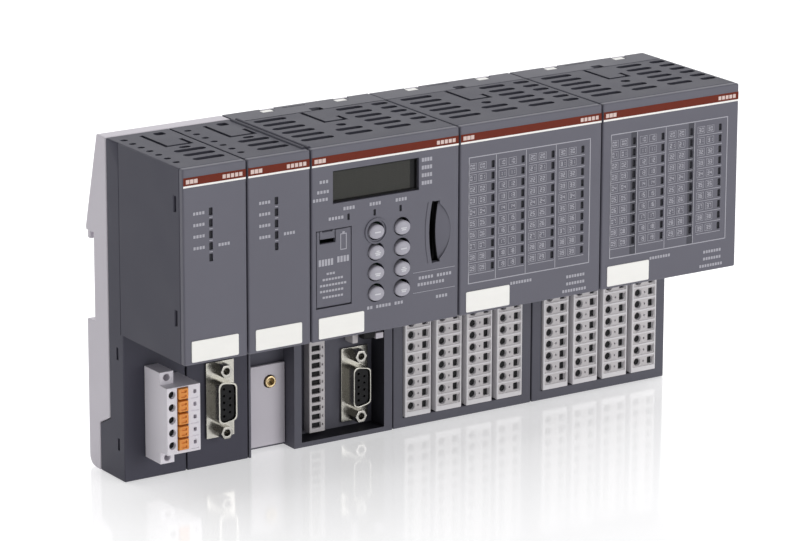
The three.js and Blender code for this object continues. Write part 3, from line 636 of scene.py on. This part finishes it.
def build_io_front(place, dark_columns):
    """Cover of an input/output module: a printed table with four columns of ten indicators."""
    rows = [place.top - IO_FIRST_ROW - row * IO_ROW_PITCH for row in range(IO_ROWS)]
    windows = [(place.left + x, z, 1.5, 2.9) for x in IO_COLUMNS for z in rows]
    build_cover(place, windows)
    left, low, right, high = IO_TABLE
    low_x, high_x = place.left + left, place.left + right
    low_z, high_z = place.low + low, place.top - high
    strips = []
    for column_x in dark_columns:
        strips += window_strip(place.left + column_x, rows, low_z + 0.4, high_z - 0.4)
    if strips:
        place.print_on("strips", strips, STRIP_INK, "led_window", proud=PROUD / 2)
    marks = outline_bars(low_x, low_z, high_x, high_z, 0.35)
    for column, window_x in enumerate(IO_COLUMNS):
        x = place.left + window_x
        if column < len(IO_COLUMNS) - 1:
            marks.append((x + 1.35, low_z + 0.5, x + 1.6, high_z - 0.5))
        for row, z in enumerate(rows):
            marks += io_cell_marks(x, z, column, row)
            line_z = z - IO_ROW_PITCH / 2
            marks.append((x - 11.2, line_z - 0.1, x + 0.9, line_z + 0.1))
    for index, count in enumerate((7, 7, 9)):
        marks += dashes(place.right - 16.5 - 0.9 * max(0, count - 7), place.low + 7.6 - index * 2.9, count)
    marks += dashes(low_x + 20, low_z - 3.3, 8)
    place.print_on("print", marks, PRINT, "print_white")


# ---- processor front

KEY_COUNT = 8
KEY_NODES = [f"key_{index + 1}" for index in range(KEY_COUNT)]
CPU_WINDOW_XS = (16.8, 28.6, 40.4)
CPU_WINDOW_DROP = 28.4
KEY_FLATNESS = 0.82  # height of a key over its width
KEY_DROP = 0.32  # of a key's middle below that of its hole
KEY_DOME = 0.9
CARD_SLOT_RADIUS = 55.8
CARD_SLOT_HALF_WIDTH = 1.85
CARD_GUIDE_OFFSET = 0.1  # of the card cage from the slot
CARD_GUIDE_MARGIN = 1.2
SCOOP_WIDTH = 8.55
SCOOP_DEPTH = 1.2
KEY_RING = (5.1, 4.4)  # outer and inner radius


def card_slot_place():
    """Middle of the card slot in x and z, and half its height, from the cage behind it."""
    low, high = cad_box("card_socket")
    return ((low.x + high.x) / 2 - CARD_GUIDE_OFFSET, (low.z + high.z) / 2,
            (high.z - low.z) / 2 - CARD_GUIDE_MARGIN)


def slot_band(low_shift, high_shift):
    """Outline between two copies of the slot's curve, moved sideways."""
    x, z, half_height = card_slot_place()
    sweep = math.degrees(math.asin(half_height / CARD_SLOT_RADIUS))
    curve = circle_arc(x + CARD_SLOT_RADIUS, z, CARD_SLOT_RADIUS, 180 - sweep, 180 + sweep, 12)
    return [(u + low_shift, v) for u, v in curve] + [(u + high_shift, v) for u, v in reversed(curve)]


def scoop_card_slot(body, place):
    """Slopes the thumb recess up to its right edge and cuts the slot and a line beside it."""
    x, z, half_height = card_slot_place()
    left, right = x + CARD_SLOT_HALF_WIDTH, x + SCOOP_WIDTH
    wedge = bmesh.new()
    rim_y, floor_y = place.front + 0.01, place.front + SCOOP_DEPTH
    outline = [(left, floor_y - NEAR), (right, rim_y), (right + 0.5, rim_y), (right + 0.5, floor_y + 0.3),
               (left, floor_y + 0.3)]
    add_prism(wedge, outline, "Z", z - half_height - 0.3, z + half_height + 0.3)
    body = combine(body, wedge, "UNION")
    tool = bmesh.new()
    half = CARD_SLOT_HALF_WIDTH
    sink(tool, slot_band(-half, half), place.front, 4)
    sink(tool, slot_band(-4.0, -3.5), place.front, 0.2)
    return combine(body, tool)


def add_slot_painted_shade(place):
    """Black sheets on both walls of the card slot, as painted shade down the slot."""
    half = CARD_SLOT_HALF_WIDTH
    body = bmesh.new()
    add_prism(body, slot_band(-half, -half + 0.2), "Y", place.front + 0.2, place.front + 4)
    add_prism(body, slot_band(half - 0.2, half), "Y", place.front + SCOOP_DEPTH + 0.05, place.front + 4)
    add_piece("card_slot_painted_shade", body, BLACK, place.body)


def add_key_ring(place):
    """Raised ring round the first key."""
    low, high = cad_box(KEY_NODES[0])
    x, z = (low.x + high.x) / 2, (low.z + high.z) / 2
    ring, hole = bmesh.new(), bmesh.new()
    add_prism(ring, circle_arc(x, z, KEY_RING[0], 0, 354, 59), "Y", place.front - 0.5, place.front + 0.3)
    add_bar(hole, x, z, KEY_RING[1], place.front - 2, place.front + 2, 48)
    ring = combine(ring, hole)
    round_edges(ring, 0.18, 2, lies_at(1, place.front - 0.5))
    add_piece("cpu_key_ring", ring, COVER, place.body)


def build_processor_front():
    """Cover of the processor module, with its windows and the scooped card slot."""
    place = CPU_PLACE
    windows = [(place.left + x, place.top - CPU_WINDOW_DROP, 1.1, 2.5) for x in CPU_WINDOW_XS]
    body = cut_windows(rounded_cover(place), place, windows)
    body = scoop_card_slot(body, place)
    round_edges(body, 0.35, 2, lambda edge: lies_at(1, place.front)(edge) and is_key_hole(edge))
    add_slot_painted_shade(place)
    add_key_ring(place)
    stand_for(place.cover, body, COVER)
    add_windows(place, windows)
    place.print_on("print", processor_marks(place, windows), PRINT, "print_white")


def is_key_hole(edge):
    """Tells the rims of the key holes."""
    for node in KEY_NODES:
        low, high = cad_box(node)
        centre = (low + high) / 2
        radius = (high.x - low.x) / 2 + CLEARANCE
        if all(abs(math.hypot(corner.co.x - centre.x, corner.co.z - centre.z) - radius) < 0.1
               for corner in edge.verts):
            return True
    return False


# Printed names on the processor cover: x, height above its lower edge and number of blocks.
CPU_PRINT_ROWS = ((3.9, 62.2, 3), (2.8, 58.3, 4), (0.9, 55.3, 5), (7.9, 47.3, 5), (48.8, 17.8, 5),
                  (57.2, 17.8, 5), (48.3, 15.2, 9), (56.8, 9.2, 4), (25.2, 9.5, 2), (29.3, 9.5, 5),
                  (37.7, 9.5, 3))


def processor_marks(place, windows):
    """Printed blocks and ticks on the processor cover."""
    marks = []
    for x, z, _, height in windows:
        marks += dashes(x - 2.3, z + height / 2 + 1.6, 4, 0.95, 1.3)
    for x, z, count in CPU_PRINT_ROWS:
        marks += dashes(place.left + x, place.low + z, count, 0.95, 1.2, 0.45)
    high = cad_box("display_module")[1]
    for index in range(4):
        marks += dashes(high.x + 1.5, high.z - 1.6 - index * 3.05, 4, 0.95, 1.5, 0.3)
    for z in (20.7, 12.6):
        marks.append((place.left + 46.2, place.low + z, place.left + 65.6, place.low + z + 0.16))
    return marks


def build_keys():
    """Domed keys with a small raised sign."""
    for index, node in enumerate(KEY_NODES):
        low, high = cad_box(node)
        centre, radius = (low + high) / 2, (high.x - low.x) / 2
        crown = [(radius * math.sin(turn), low.y + KEY_DOME * (1 - math.cos(turn)))
                 for turn in map(math.radians, (12, 30, 45, 60, 75, 90))]
        body = bmesh.new()
        add_turned(body, 0, 0, [*crown, (radius, high.y)], 40)
        bmesh.ops.scale(body, vec=(1, 1, KEY_FLATNESS), verts=body.verts)
        bmesh.ops.translate(body, vec=(centre.x, 0, centre.z - KEY_DROP), verts=body.verts)
        stand_for(node, body, KEY)
        sign = bmesh.new()
        x, z = centre.x, centre.z - KEY_DROP
        for low_u, low_v, high_u, high_v in key_sign(index):
            add_box(sign, (x + low_u, low.y - 0.03, z + low_v), (x + high_u, low.y + 0.4, z + high_v))
        add_piece(f"{node}_sign", sign, SIGN, body_of(node))


def key_sign(index):
    """Plain bars of one key sign."""
    rows = ((-0.25, 0.25), (-0.95, -0.45), (0.45, 0.95))
    count = 1 + index % 3
    return [(-1.3 + 0.3 * row, low, 1.3 - 0.3 * row, high) for row, (low, high) in enumerate(rows[:count])]


def build_display():
    """Black display block with a pane set back in it. The black of its rim and pocket walls stands partly
    for the bezel's shadow, and a black plate at the pane's right end is a painted shadow of the bezel.
    """
    node = "display_module"
    low, high = cad_box(node)
    left, right, bottom, top = low.x + 0.4, high.x - 0.4, low.z + 0.4, high.z - 0.4
    pane_y = low.y + 0.9
    tool, pane = bmesh.new(), bmesh.new()
    add_box(tool, (left, low.y - 1, bottom), (right, pane_y + 0.6, top))
    body = combine(carried(node), tool)
    round_edges(body, 0.1, 1, lies_at(1, low.y))
    # Painted shade in part: the black rim and pocket walls stand for the bezel's shadow as well as for a
    # black frame.
    stand_for(node, body, BLACK)
    add_box(pane, (left, pane_y, bottom), (right, pane_y + 0.7, top))
    add_piece("display_pane", pane, PANE, body_of(node))
    # Painted shadow: a black plate on the right end of the pane, where the bezel's shadow falls.
    bezel_shadow = (right - 2.2, bottom + NEAR, right - NEAR, top - NEAR)
    add_plates("display_bezel_shadow", [bezel_shadow], pane_y, BLACK, body_of(node))


# Printed lines on the battery door: x, distance below its upper edge and number of blocks.
DOOR_PRINT_ROWS = ((4.4, 17.4, 3), (2.6, 19.6, 7), (1.4, 21.9, 9), (1.4, 24.2, 8), (2.6, 26.6, 7))


def build_battery_door():
    """Battery door with grooves round its spring tab, its printed rows and a battery sign."""
    low, high = cad_box("battery_door")
    body = smoothed("battery_door", 0.25)
    tab_left, tab_right, tab_low = low.x + 1.4, low.x + 8.4, high.z - 3.2
    pocket, grooves = bmesh.new(), bmesh.new()
    add_box(pocket, (tab_left, low.y - 1, tab_low), (tab_right, low.y + 0.2, high.z + 1))
    for side_x in (tab_left, tab_right):
        add_box(grooves, (side_x - 0.2, low.y - 1, tab_low - 0.5),
                (side_x + 0.2, low.y + 0.6, high.z + 1.5))
    add_box(grooves, (tab_left + 1.2, low.y - 1, high.z - 0.6),
            (tab_right - 1.2, low.y + 0.8, high.z + 1.5))
    body = combine(body, pocket)
    stand_for("battery_door", combine(body, grooves), COVER)
    marks = outline_bars(low.x + 10.6, high.z - 8.4, low.x + 13.4, high.z - 2.0, 0.3)
    marks.append((low.x + 11.5, high.z - 1.9, low.x + 12.5, high.z - 1.3))
    marks += dashes(low.x + 0.9, high.z - 13.7, 5, 1.0, 2.6, 0.35)
    marks += dashes(low.x + 9.2, high.z - 13.2, 4, 1.0, 2.4)
    for left, drop, count in DOOR_PRINT_ROWS:
        marks += dashes(low.x + left, high.z - drop, count, 1.0, 0.85, 0.35)
    add_plates("battery_door_print", marks, low.y, PRINT, "battery_flap")


def build_battery():
    """Battery cell in its can, with a contact tongue above and below."""
    low, high = cad_box("battery")
    sides, front = lies_at(0, low.x, high.x), lies_at(1, low.y)
    stand_for("battery", smoothed("battery", 1.2, 3, lambda edge: sides(edge) and front(edge)), WRAP)
    tongues = [(low.x + 4.5, start, high.x - 4.5, start + 2.5) for start in (low.z + 1.5, high.z - 4)]
    add_plates("battery_tongues", tongues, low.y, BRASS, body_of("battery"), 0.3)


# ---- module housings

VENT_WIDTH = 3.4
VENT_ROWS = 6
VENT_PITCH = 6.9
WIDE_VENT_GROUPS = ((4.5, 18.9), (41.9, 53.9), (58.4, 65.6))
WIDE_VENT_FIRST = 14.0  # behind the front face
COMM_VENT_FIRST = 11.4
VENT_DEPTH = 4
LATCH_CUT = 1.7  # width of the groove round a spring tab
SIDE_SEAM_Y = -21.4
HOOD_FRONT_Y = -17
CATCH_XS = (18.4, 52.4)
CATCH_LOW_Y = -9.6
CATCH_HIGH_Y = -6.4


def add_vent(tool, place, low_x, high_x, behind, width=VENT_WIDTH):
    """A slot with round ends through the roof, at a distance behind the front face."""
    y = place.front + behind
    outline = rounded(place.left + low_x, y - width / 2, place.left + high_x, y + width / 2, width / 2 - 0.1)
    add_prism(tool, outline, "Z", place.top - VENT_DEPTH, place.top + 1)


def add_latch_cut(tool, place, low_x, high_x, behind, end_behind):
    """The groove round a spring tab in the roof, longer on its left side."""
    low_x, high_x = place.left + low_x, place.left + high_x
    front_y, rear_y = place.front + behind, place.front + end_behind
    right_end = rear_y - 11.5
    outline = [(low_x, rear_y), (low_x, front_y), (high_x, front_y), (high_x, right_end),
               (high_x - LATCH_CUT, right_end), (high_x - LATCH_CUT, front_y + LATCH_CUT),
               (low_x + LATCH_CUT, front_y + LATCH_CUT), (low_x + LATCH_CUT, rear_y)]
    add_prism(tool, outline, "Z", place.top - VENT_DEPTH, place.top + 1)


def wide_roof(place):
    """Roof openings of a wide module."""
    tool = bmesh.new()
    for row in range(VENT_ROWS):
        behind = WIDE_VENT_FIRST + row * VENT_PITCH
        for low_x, high_x in WIDE_VENT_GROUPS:
            add_vent(tool, place, low_x, high_x, behind)
        if row < 2:
            add_vent(tool, place, 24.4, 36.4, behind)
        if row == 2:
            add_vent(tool, place, 29.0, 33.2, behind)
    add_latch_cut(tool, place, 27.0, 38.2, 33.5, 52)
    return tool


def comm_roof(place):
    """Openings of a communication module: roof slots, side seams and low windows of its snap hooks."""
    tool = bmesh.new()
    for index in range(7):
        add_vent(tool, place, 2.8, 5.7, COMM_VENT_FIRST + index * 6.55, 2.4)
    for row in range(3):
        add_vent(tool, place, 11.5, 25, COMM_VENT_FIRST + row * VENT_PITCH)
    add_vent(tool, place, 16.3, 21, 29.8, 2.6)
    add_latch_cut(tool, place, 12.3, 24.6, 33, 53.5)
    hole = rounded(place.left + 18.5, place.front + 50.5, place.left + 23, place.front + 54.5, 1.2)
    add_prism(tool, hole, "Z", place.top - VENT_DEPTH, place.top + 1)
    low_z = cad_box(place.housing)[0].z
    left, right = place.left + CLEARANCE, place.right - CLEARANCE
    for side_x in (left, right):
        add_box(tool, (side_x - 0.3, SIDE_SEAM_Y - 0.2, place.low),
                (side_x + 0.3, SIDE_SEAM_Y + 0.2, place.top + 1))
        for window_z in (low_z + 11.8, low_z + 48.4):
            add_box(tool, (side_x - 1.1, SIDE_SEAM_Y + 2.1, window_z),
                    (side_x + 1.1, SIDE_SEAM_Y + 3.6, window_z + 5))
    return tool


def build_housing(place, roof):
    """A module's housing: rounded outer edges, then its openings."""
    stand_for(place.housing, combine(smoothed(place.housing, 0.45), roof(place)), HOUSING)


def add_roof_rib(place, left):
    """Low rounded rib along one side of a module's roof."""
    half_width, height = 0.75, 0.7
    arch = circle_arc(0, 0, 1, 180, 0, 8)
    outline = [(left + half_width * (1 + u), place.top + height * v) for u, v in arch]
    outline = [(left, place.top - SUNK), *outline, (left + 2 * half_width, place.top - SUNK)]
    body = bmesh.new()
    add_prism(body, outline, "Y", place.front + 3.2, place.front + 56)
    add_piece(f"{place.name}_roof_rib", body, HOUSING, place.body)


def cut_hood(body, slot_left):
    """Notches for the catches, a finger hole and a thin groove in the roof over a rear housing."""
    tool = bmesh.new()
    for offset in CATCH_XS:
        centre = slot_left + offset
        add_box(tool, (centre - 2.7, CATCH_LOW_Y - 0.2, TOP_Z - 1.2),
                (centre + 2.7, CATCH_HIGH_Y, TOP_Z + 1))
    hole = rounded(slot_left + 33.8, HOOD_FRONT_Y - 1, slot_left + 39, HOOD_FRONT_Y + 3.6, 1.2)
    add_prism(tool, hole, "Z", TOP_Z - 3, TOP_Z + 1)
    groove_y = HOOD_FRONT_Y + 9.6
    add_box(tool, (slot_left + 26, groove_y, TOP_Z - 0.8), (slot_left + 36.5, groove_y + 0.7, TOP_Z + 1))
    return combine(body, tool)


def add_catches(name, slot_left, rides_on):
    """Catches of the rear housing in the notches of the hood. They take the white label finish instead of
    the rear plastic, as a painted highlight on their lit tops.
    """
    body = bmesh.new()
    for offset in CATCH_XS:
        centre = slot_left + offset
        add_box(body, (centre - 2.5, CATCH_LOW_Y, TOP_Z - 1.4), (centre + 2.5, CATCH_HIGH_Y, TOP_Z - 0.05))
    round_edges(body, 0.15, 1)
    # Painted highlight: the catches take the white label finish for the light on their tops.
    add_piece(name, body, LABEL_AND_CATCH_HIGHLIGHT, rides_on)


# ---- connectors

JACK_SPACING = 12.5  # from the connector's middle
JACK_LENGTH = 6.0
CONTACT_PITCH = 2.77
CONTACT_RADIUS = 0.55


def build_dsub(shell_node, insert_node, name):
    """D-shaped connector: rounded shell, contact holes and two hexagonal jack screws."""
    low, high = cad_box(shell_node)
    x, z, rear = (low.x + high.x) / 2, (low.z + high.z) / 2, high.y
    stand_for(shell_node, smoothed(shell_node, 0.22), SHELL_METAL)
    front = cad_box(insert_node)[0].y
    holes = bmesh.new()
    for column, count in ((-1.35, 5), (1.35, 4)):
        for index in range(count):
            hole_z = z + (index - (count - 1) / 2) * CONTACT_PITCH
            add_bar(holes, x + column, hole_z, CONTACT_RADIUS, front - 1, front + 3, 12)
    stand_for(insert_node, combine(carried(insert_node), holes), BLACK)
    screws, bores = bmesh.new(), bmesh.new()
    screw_front = rear - JACK_LENGTH
    for centre in (z - JACK_SPACING, z + JACK_SPACING):
        add_prism(screws, hexagon(x, centre, 4.8), "Y", screw_front, rear - 0.2)
        add_bar(bores, x, centre, 1.35, screw_front - 2, rear - 1.5, 20)
    screws = combine(screws, bores)
    round_edges(screws, 0.25, 2, lies_at(1, screw_front))
    add_piece(f"{name}_jack_screws", screws, SCREW_METAL, body_of(shell_node))


PLUG_WAYS = 5


def build_terminal_plug():
    """Pluggable terminal: wire holes, test holes and a notch between the ways, with black fills down the
    wire holes as painted shade.
    """
    low, high = cad_box("terminal_plug")
    lever_nodes = [f"release_lever_{index + 1}" for index in range(PLUG_WAYS)]
    zs = [sum(corner.z for corner in cad_box(node)) / 2 for node in lever_nodes]
    pitch = zs[0] - zs[1]
    hole_x = low.x + 2.3
    tool, painted_hole_shade = bmesh.new(), bmesh.new()
    for z in zs:
        add_bar(tool, hole_x, z, 1.55, low.y - 1, low.y + 7, 20)
        # Painted shade: a black bar fills each wire hole from 1.6 mm down.
        add_bar(painted_hole_shade, hole_x, z, 1.52, low.y + 1.6, low.y + 6.9, 20)
        sink(tool, rounded(low.x + 11.7, z - 0.8, low.x + 13.1, z + 0.8, 0.3), low.y, 4)
        line = z - pitch / 2
        add_box(tool, (low.x + 10.6, low.y - 1, line - 0.15), (high.x - 0.8, low.y + 0.3, line + 0.15))
    stand_for("terminal_plug", combine(smoothed("terminal_plug", 0.3), tool), PLUG)
    add_piece("terminal_plug_painted_hole_shade", painted_hole_shade, BLACK, body_of("terminal_plug"))
    for node in lever_nodes:
        build_lever(node)


def build_lever(node):
    """Release lever with two notches for a screwdriver."""
    low, high = cad_box(node)
    middle = (low.z + high.z) / 2
    tool = bmesh.new()
    for z in (middle - 0.95, middle + 0.95):
        sink(tool, rounded(low.x + 0.9, z - 0.5, low.x + 3.3, z + 0.5, 0.2), low.y, 0.5)
    stand_for(node, combine(smoothed(node, 0.3), tool), LEVER)


COM1_WAYS = 10


def build_com1_plug():
    """Ten-way plug with a rectangular mouth for each contact, and a black box down each mouth as painted
    shade.
    """
    low, high = cad_box("com1_plug")
    pitch = (high.z - low.z - 2.4) / COM1_WAYS
    tool, painted_hole_shade = bmesh.new(), bmesh.new()
    for index in range(COM1_WAYS):
        z = low.z + 1.2 + (index + 0.5) * pitch
        mouth = rounded(low.x + 1.1, z - pitch * 0.33, low.x + 5.3, z + pitch * 0.33, 0.3)
        sink(tool, mouth, low.y, 3.2)
        add_box(tool, (low.x + 5.8, low.y - 1, z - 0.5), (low.x + 6.5, low.y + 0.8, z + 0.5))
        # Painted shade: a black box fills each mouth from 1 mm down.
        add_box(painted_hole_shade, (low.x + 1.15, low.y + 1, z - pitch * 0.32),
                (low.x + 5.25, low.y + 3.15, z + pitch * 0.32))
    stand_for("com1_plug", combine(smoothed("com1_plug", 0.25), tool), TERMINAL_AND_POCKET_SHADE)
    add_piece("com1_plug_painted_hole_shade", painted_hole_shade, BLACK, body_of("com1_plug"))


# ---- terminal units

BLOCK_ROWS = 10
BLOCK_ROW_PITCH = 4.97
BLOCK_FIRST_ROW = 4.3  # above the lower end of a block
BLOCKS = 4
POCKET_DEPTH = 0.3


def build_block(node):
    """Terminal block: wire entry, release opening and test mark in each way. Black fills go down the holes
    as painted shade, and the pocket floors take a darker finish as painted shade so the ridges round them
    look lit.
    """
    low, high = cad_box(node)
    floor_y = low.y + POCKET_DEPTH
    wire_x = low.x + 3.2
    entry = [(1.9, low.y - 0.6), (1.75, floor_y), (1.45, low.y + 1.0), (1.35, low.y + 6)]
    half = BLOCK_ROW_PITCH / 2 - 0.3
    pockets, holes, painted_hole_shade = bmesh.new(), bmesh.new(), bmesh.new()
    for row in range(BLOCK_ROWS):
        z = low.z + BLOCK_FIRST_ROW + row * BLOCK_ROW_PITCH
        pocket = rounded(low.x + 0.7, z - half, high.x - 0.7, min(z + half, high.z - 0.4), 0.4)
        sink(pockets, pocket, low.y, POCKET_DEPTH)
        add_turned(holes, wire_x, z, entry, 20)
        sink(holes, rounded(low.x + 8.3, z - 1.5, low.x + 10.8, z + 1.5, 0.35), low.y, 5)
        sink(holes, rounded(low.x + 6.1, z - 0.5, low.x + 6.8, z + 0.5, 0.3), low.y, 1.5)
        # Painted shade: black fills down the wire entry and the release opening.
        add_bar(painted_hole_shade, wire_x, z, 1.34, low.y + 1.2, low.y + 5.9, 20)
        add_box(painted_hole_shade, (low.x + 8.35, low.y + 1.2, z - 1.45), (low.x + 10.75, low.y + 4.9, z + 1.45))
    body = combine(smoothed(node, 0.35), pockets)
    block = stand_for(node, combine(body, holes), BLOCK)
    # Painted shade: the pocket floors take the darker grey, so the ridges of the same moulding look lit.
    paint_faces(block, TERMINAL_AND_POCKET_SHADE,
                lambda middle, normal: abs(middle.y - floor_y) < NEAR and abs(normal.y) > 0.9)
    add_piece(f"{node}_insides", painted_hole_shade, BLACK, body_of(node))


def build_unit(name):
    """Terminal unit: frame, ribs between the blocks and the blocks."""
    frame_node = f"{name}_front_frame"
    slot_left = cad_box(frame_node)[0].x - CLEARANCE
    stand_for(frame_node, cut_hood(smoothed(frame_node, 0.4), slot_left), FRAME)
    add_catches(f"{name}_catches", slot_left, name)
    boxes = [cad_box(f"{name}_block_{index + 1}") for index in range(BLOCKS)]
    ribs = bmesh.new()
    for (_, high), (low, _) in zip(boxes, boxes[1:]):
        middle = (high.x + low.x) / 2
        add_box(ribs, (middle - 0.55, low.y + 3.5, low.z - 0.2), (middle + 0.55, high.y + 0.2, high.z))
    round_edges(ribs, 0.2, 1)
    add_piece(f"{name}_ribs", ribs, FRAME, name)
    for index in range(BLOCKS):
        build_block(f"{name}_block_{index + 1}")


# ---- base and rear parts

REAR_POCKET_PITCH = 17  # about, across the back
REAR_POCKET_GAP = 2
REAR_POCKET_ZS = ((-68, -46), (-43.5, -22))


def rear_pockets(node, latch):
    """Moulding pockets in the thick lower back, clear of the rail latch."""
    low, high = cad_box(node)
    latch_low, latch_high = cad_box(latch)
    tool = bmesh.new()
    for start, end in ((low.x + 3.5, latch_low.x - 4), (latch_high.x + 4, high.x - 3.5)):
        count = max(1, round((end - start) / REAR_POCKET_PITCH))
        pitch = (end - start + REAR_POCKET_GAP) / count
        for index in range(count):
            left = start + index * pitch
            for low_z, high_z in REAR_POCKET_ZS:
                outline = rounded(left, low_z, left + pitch - REAR_POCKET_GAP, high_z, 1.5)
                add_prism(tool, outline, "Y", high.y - 3.6, high.y + 1)
    return tool


def build_rear(node, latch):
    """Light rear housing, its lower edges left sharp round the latch groove, and its rail latch."""
    on_floor = lies_at(2, cad_box(node)[0].z)
    body = smoothed(node, 0.5, 2, lambda edge: not on_floor(edge))
    stand_for(node, combine(body, rear_pockets(node, latch)), REAR)
    stand_for(latch, smoothed(latch, 0.3), LATCH)


def build_fieldbus_socket():
    """Blank plate with its round socket."""
    stand_for("fieldbus_plate", smoothed("fieldbus_plate", 0.25), REAR)
    stand_for("fieldbus_socket", smoothed("fieldbus_socket", 0.3), BRASS)


WELL_SIDES = (24.6, 63.4)  # of the serial ports, from the left side of the place
WELL_REAR_Y = -13.5


def add_well_part(name, low, high, rounding, segments, material):
    """One of the small parts at the top of the well of the serial ports."""
    body = bmesh.new()
    add_box(body, low, high)
    round_edges(body, rounding, segments)
    add_piece(name, body, material, "terminal_base")


def build_base_frame():
    """Frame of the base, with the small parts in the well of the serial ports."""
    low = cad_box("base_front_frame")[0]
    slot_left = low.x - CLEARANCE

    def dark_in_well(middle, normal):
        """Tells the floor and the right side of the well, behind their rounded rims, which take the painted
        shade.
        """
        inside = (slot_left + WELL_SIDES[0] < middle.x < slot_left + WELL_SIDES[1] + 0.1
                  and low.y + 0.7 < middle.y < WELL_REAR_Y - 0.1)
        return inside and (normal.x < -0.9 or normal.z > 0.9)

    body = cut_hood(smoothed("base_front_frame", 0.6, 3), slot_left)
    # Painted shade: the well's floor and right side take the near-black finish in place of the frame plastic
    # in shade.
    paint_faces(stand_for("base_front_frame", body, FRAME), WELL, dark_in_well)
    add_catches("base_catches", slot_left, "terminal_base")
    x, z = slot_left, low.z
    add_well_part("com2_tab", (x + 51.0, -19, z + 37.6), (x + 53.6, -13.3, z + 48), 0.3, 2,
                  TERMINAL_AND_POCKET_SHADE)
    add_well_part("service_socket", (x + 54.0, -22.6, z + 39.8), (x + 59.4, -19, z + 42.4), 0.2, 1,
                  BLACK)
    add_well_part("service_socket_end", (x + 59.6, -22.8, z + 39.2), (x + 63.2, -19, z + 41.6), 0.25, 2,
                  REAR)


def paint_hidden_parts():
    """Finishes for the CAD parts that stay as they are, inside the modules."""
    for node, thing in frame["nodes"].items():
        if node == "card_socket" or node.endswith("circuit_board"):
            for slot in thing.material_slots:
                slot.material = BLACK if node == "card_socket" else BOARD


# ---- studio

VIEW_AZIMUTH = -33.105
VIEW_ELEVATION = 15.843
VIEW_ROLL = 0.141
FOCAL_LENGTH = 192.59
CAMERA_PLACE = Vector((-829.2, -1394.55, 453.25))
FLOOR_COLOR = (0.8, 0.8, 0.805)
FLOOR_GLOW = 0.45  # the table is lit from below
FLOOR_HALF = 15  # metres
WORLD_BRIGHT_SIDE = (0.53, 0.82, 0.25)
WORLD_DARK = 0.35
WORLD_BRIGHT = 1.3


def add_camera():
    data = bpy.data.cameras.new("camera")
    data.sensor_width = 36
    data.lens = FOCAL_LENGTH
    data.clip_start = 0.1
    data.clip_end = 60
    camera = bpy.data.objects.new("camera", data)
    turn = (Matrix.Rotation(math.radians(VIEW_AZIMUTH), 4, "Z")
            @ Matrix.Rotation(math.radians(90 - VIEW_ELEVATION), 4, "X")
            @ Matrix.Rotation(math.radians(VIEW_ROLL), 4, "Z"))
    camera.matrix_world = Matrix.Translation(CAMERA_PLACE * MM) @ turn
    bpy.context.scene.camera = show(camera)


def add_floor():
    """Pale glossy table under the row."""
    body = bmesh.new()
    half, height = FLOOR_HALF, CAD_LOW.z - 0.0002
    body.faces.new([body.verts.new((x, y, height))
                    for x, y in ((-half, -half), (half, -half), (half, half), (-half, half))])
    material, shader = new_material("floor_gloss", FLOOR_COLOR, 0.08)
    set_inputs(shader, {"IOR": 1.7, "Emission Color": (1, 1, 1, 1), "Emission Strength": FLOOR_GLOW})
    vary_roughness(shader, add_noise(shader, 3, 2), 0.06, 0.1)
    floor = as_object("floor", body)
    floor.data.materials.append(material)


def add_light(name, place, size, power):
    """Square area light that points at the middle of the row."""
    data = bpy.data.lights.new(name, "AREA")
    data.shape = "SQUARE"
    data.size = size
    data.energy = power
    light = bpy.data.objects.new(name, data)
    light.location = place
    middle = (CAD_LOW + CAD_HIGH) / 2
    light.rotation_euler = (middle - Vector(place)).to_track_quat("-Z", "Y").to_euler()
    show(light)


def add_world():
    """White room, brighter behind the row and darker at its left end."""
    world = bpy.data.worlds.new("studio")
    world.use_nodes = True
    tree = world.node_tree
    background = tree.nodes["Background"]
    background.inputs["Color"].default_value = (1, 1, 1, 1)
    place = add_node(tree, "ShaderNodeTexCoord", {})
    toward = tree.nodes.new("ShaderNodeVectorMath")
    toward.operation = "DOT_PRODUCT"
    toward.inputs[1].default_value = Vector(WORLD_BRIGHT_SIDE).normalized()
    ramp = add_node(tree, "ShaderNodeMapRange", {
        "From Min": -0.2, "From Max": 0.95, "To Min": WORLD_DARK, "To Max": WORLD_BRIGHT})
    ramp.interpolation_type = "SMOOTHSTEP"
    link(place, "Generated", toward, 0)
    link(toward, "Value", ramp, "Value")
    link(ramp, "Result", background, "Strength")
    bpy.context.scene.world = world


def add_studio():
    add_camera()
    add_floor()
    add_world()
    add_light("key", (1.0, -1.9, 0.4), 1.3, 19)
    add_light("top", (0.1, 0.1, 1.7), 1.4, 6)
    bpy.context.scene.view_settings.view_transform = "Standard"


# ---- the row

def build_row():
    for place, window_x in zip(COMM_PLACES, COMM_WINDOW_XS):
        build_comm_front(place, window_x)
        build_housing(place, comm_roof)
    for place, dark_columns in zip(IO_PLACES, ((), IO_COLUMNS[::2])):
        build_io_front(place, dark_columns)
        build_housing(place, wide_roof)
    build_processor_front()
    build_housing(CPU_PLACE, wide_roof)
    add_roof_rib(COMM_PLACES[1], COMM_PLACES[1].right - CLEARANCE - 1.6)
    add_roof_rib(CPU_PLACE, CPU_PLACE.left + CLEARANCE + 0.1)
    build_keys()
    build_display()
    build_battery_door()
    build_battery()
    for place in PLACES:
        add_band(place)
        add_label(place)
    build_dsub("dsub_shell", "dsub_insert", "comm_2")
    build_dsub("com2_shell", "com2_insert", "com2")
    build_terminal_plug()
    build_com1_plug()
    build_fieldbus_socket()
    build_base_frame()
    for name in UNITS:
        build_unit(name)
    for owner in ("base", *UNITS):
        build_rear(f"{owner}_rear_housing", f"{owner}_rail_latch")
    paint_hidden_parts()


add_studio()
build_row()
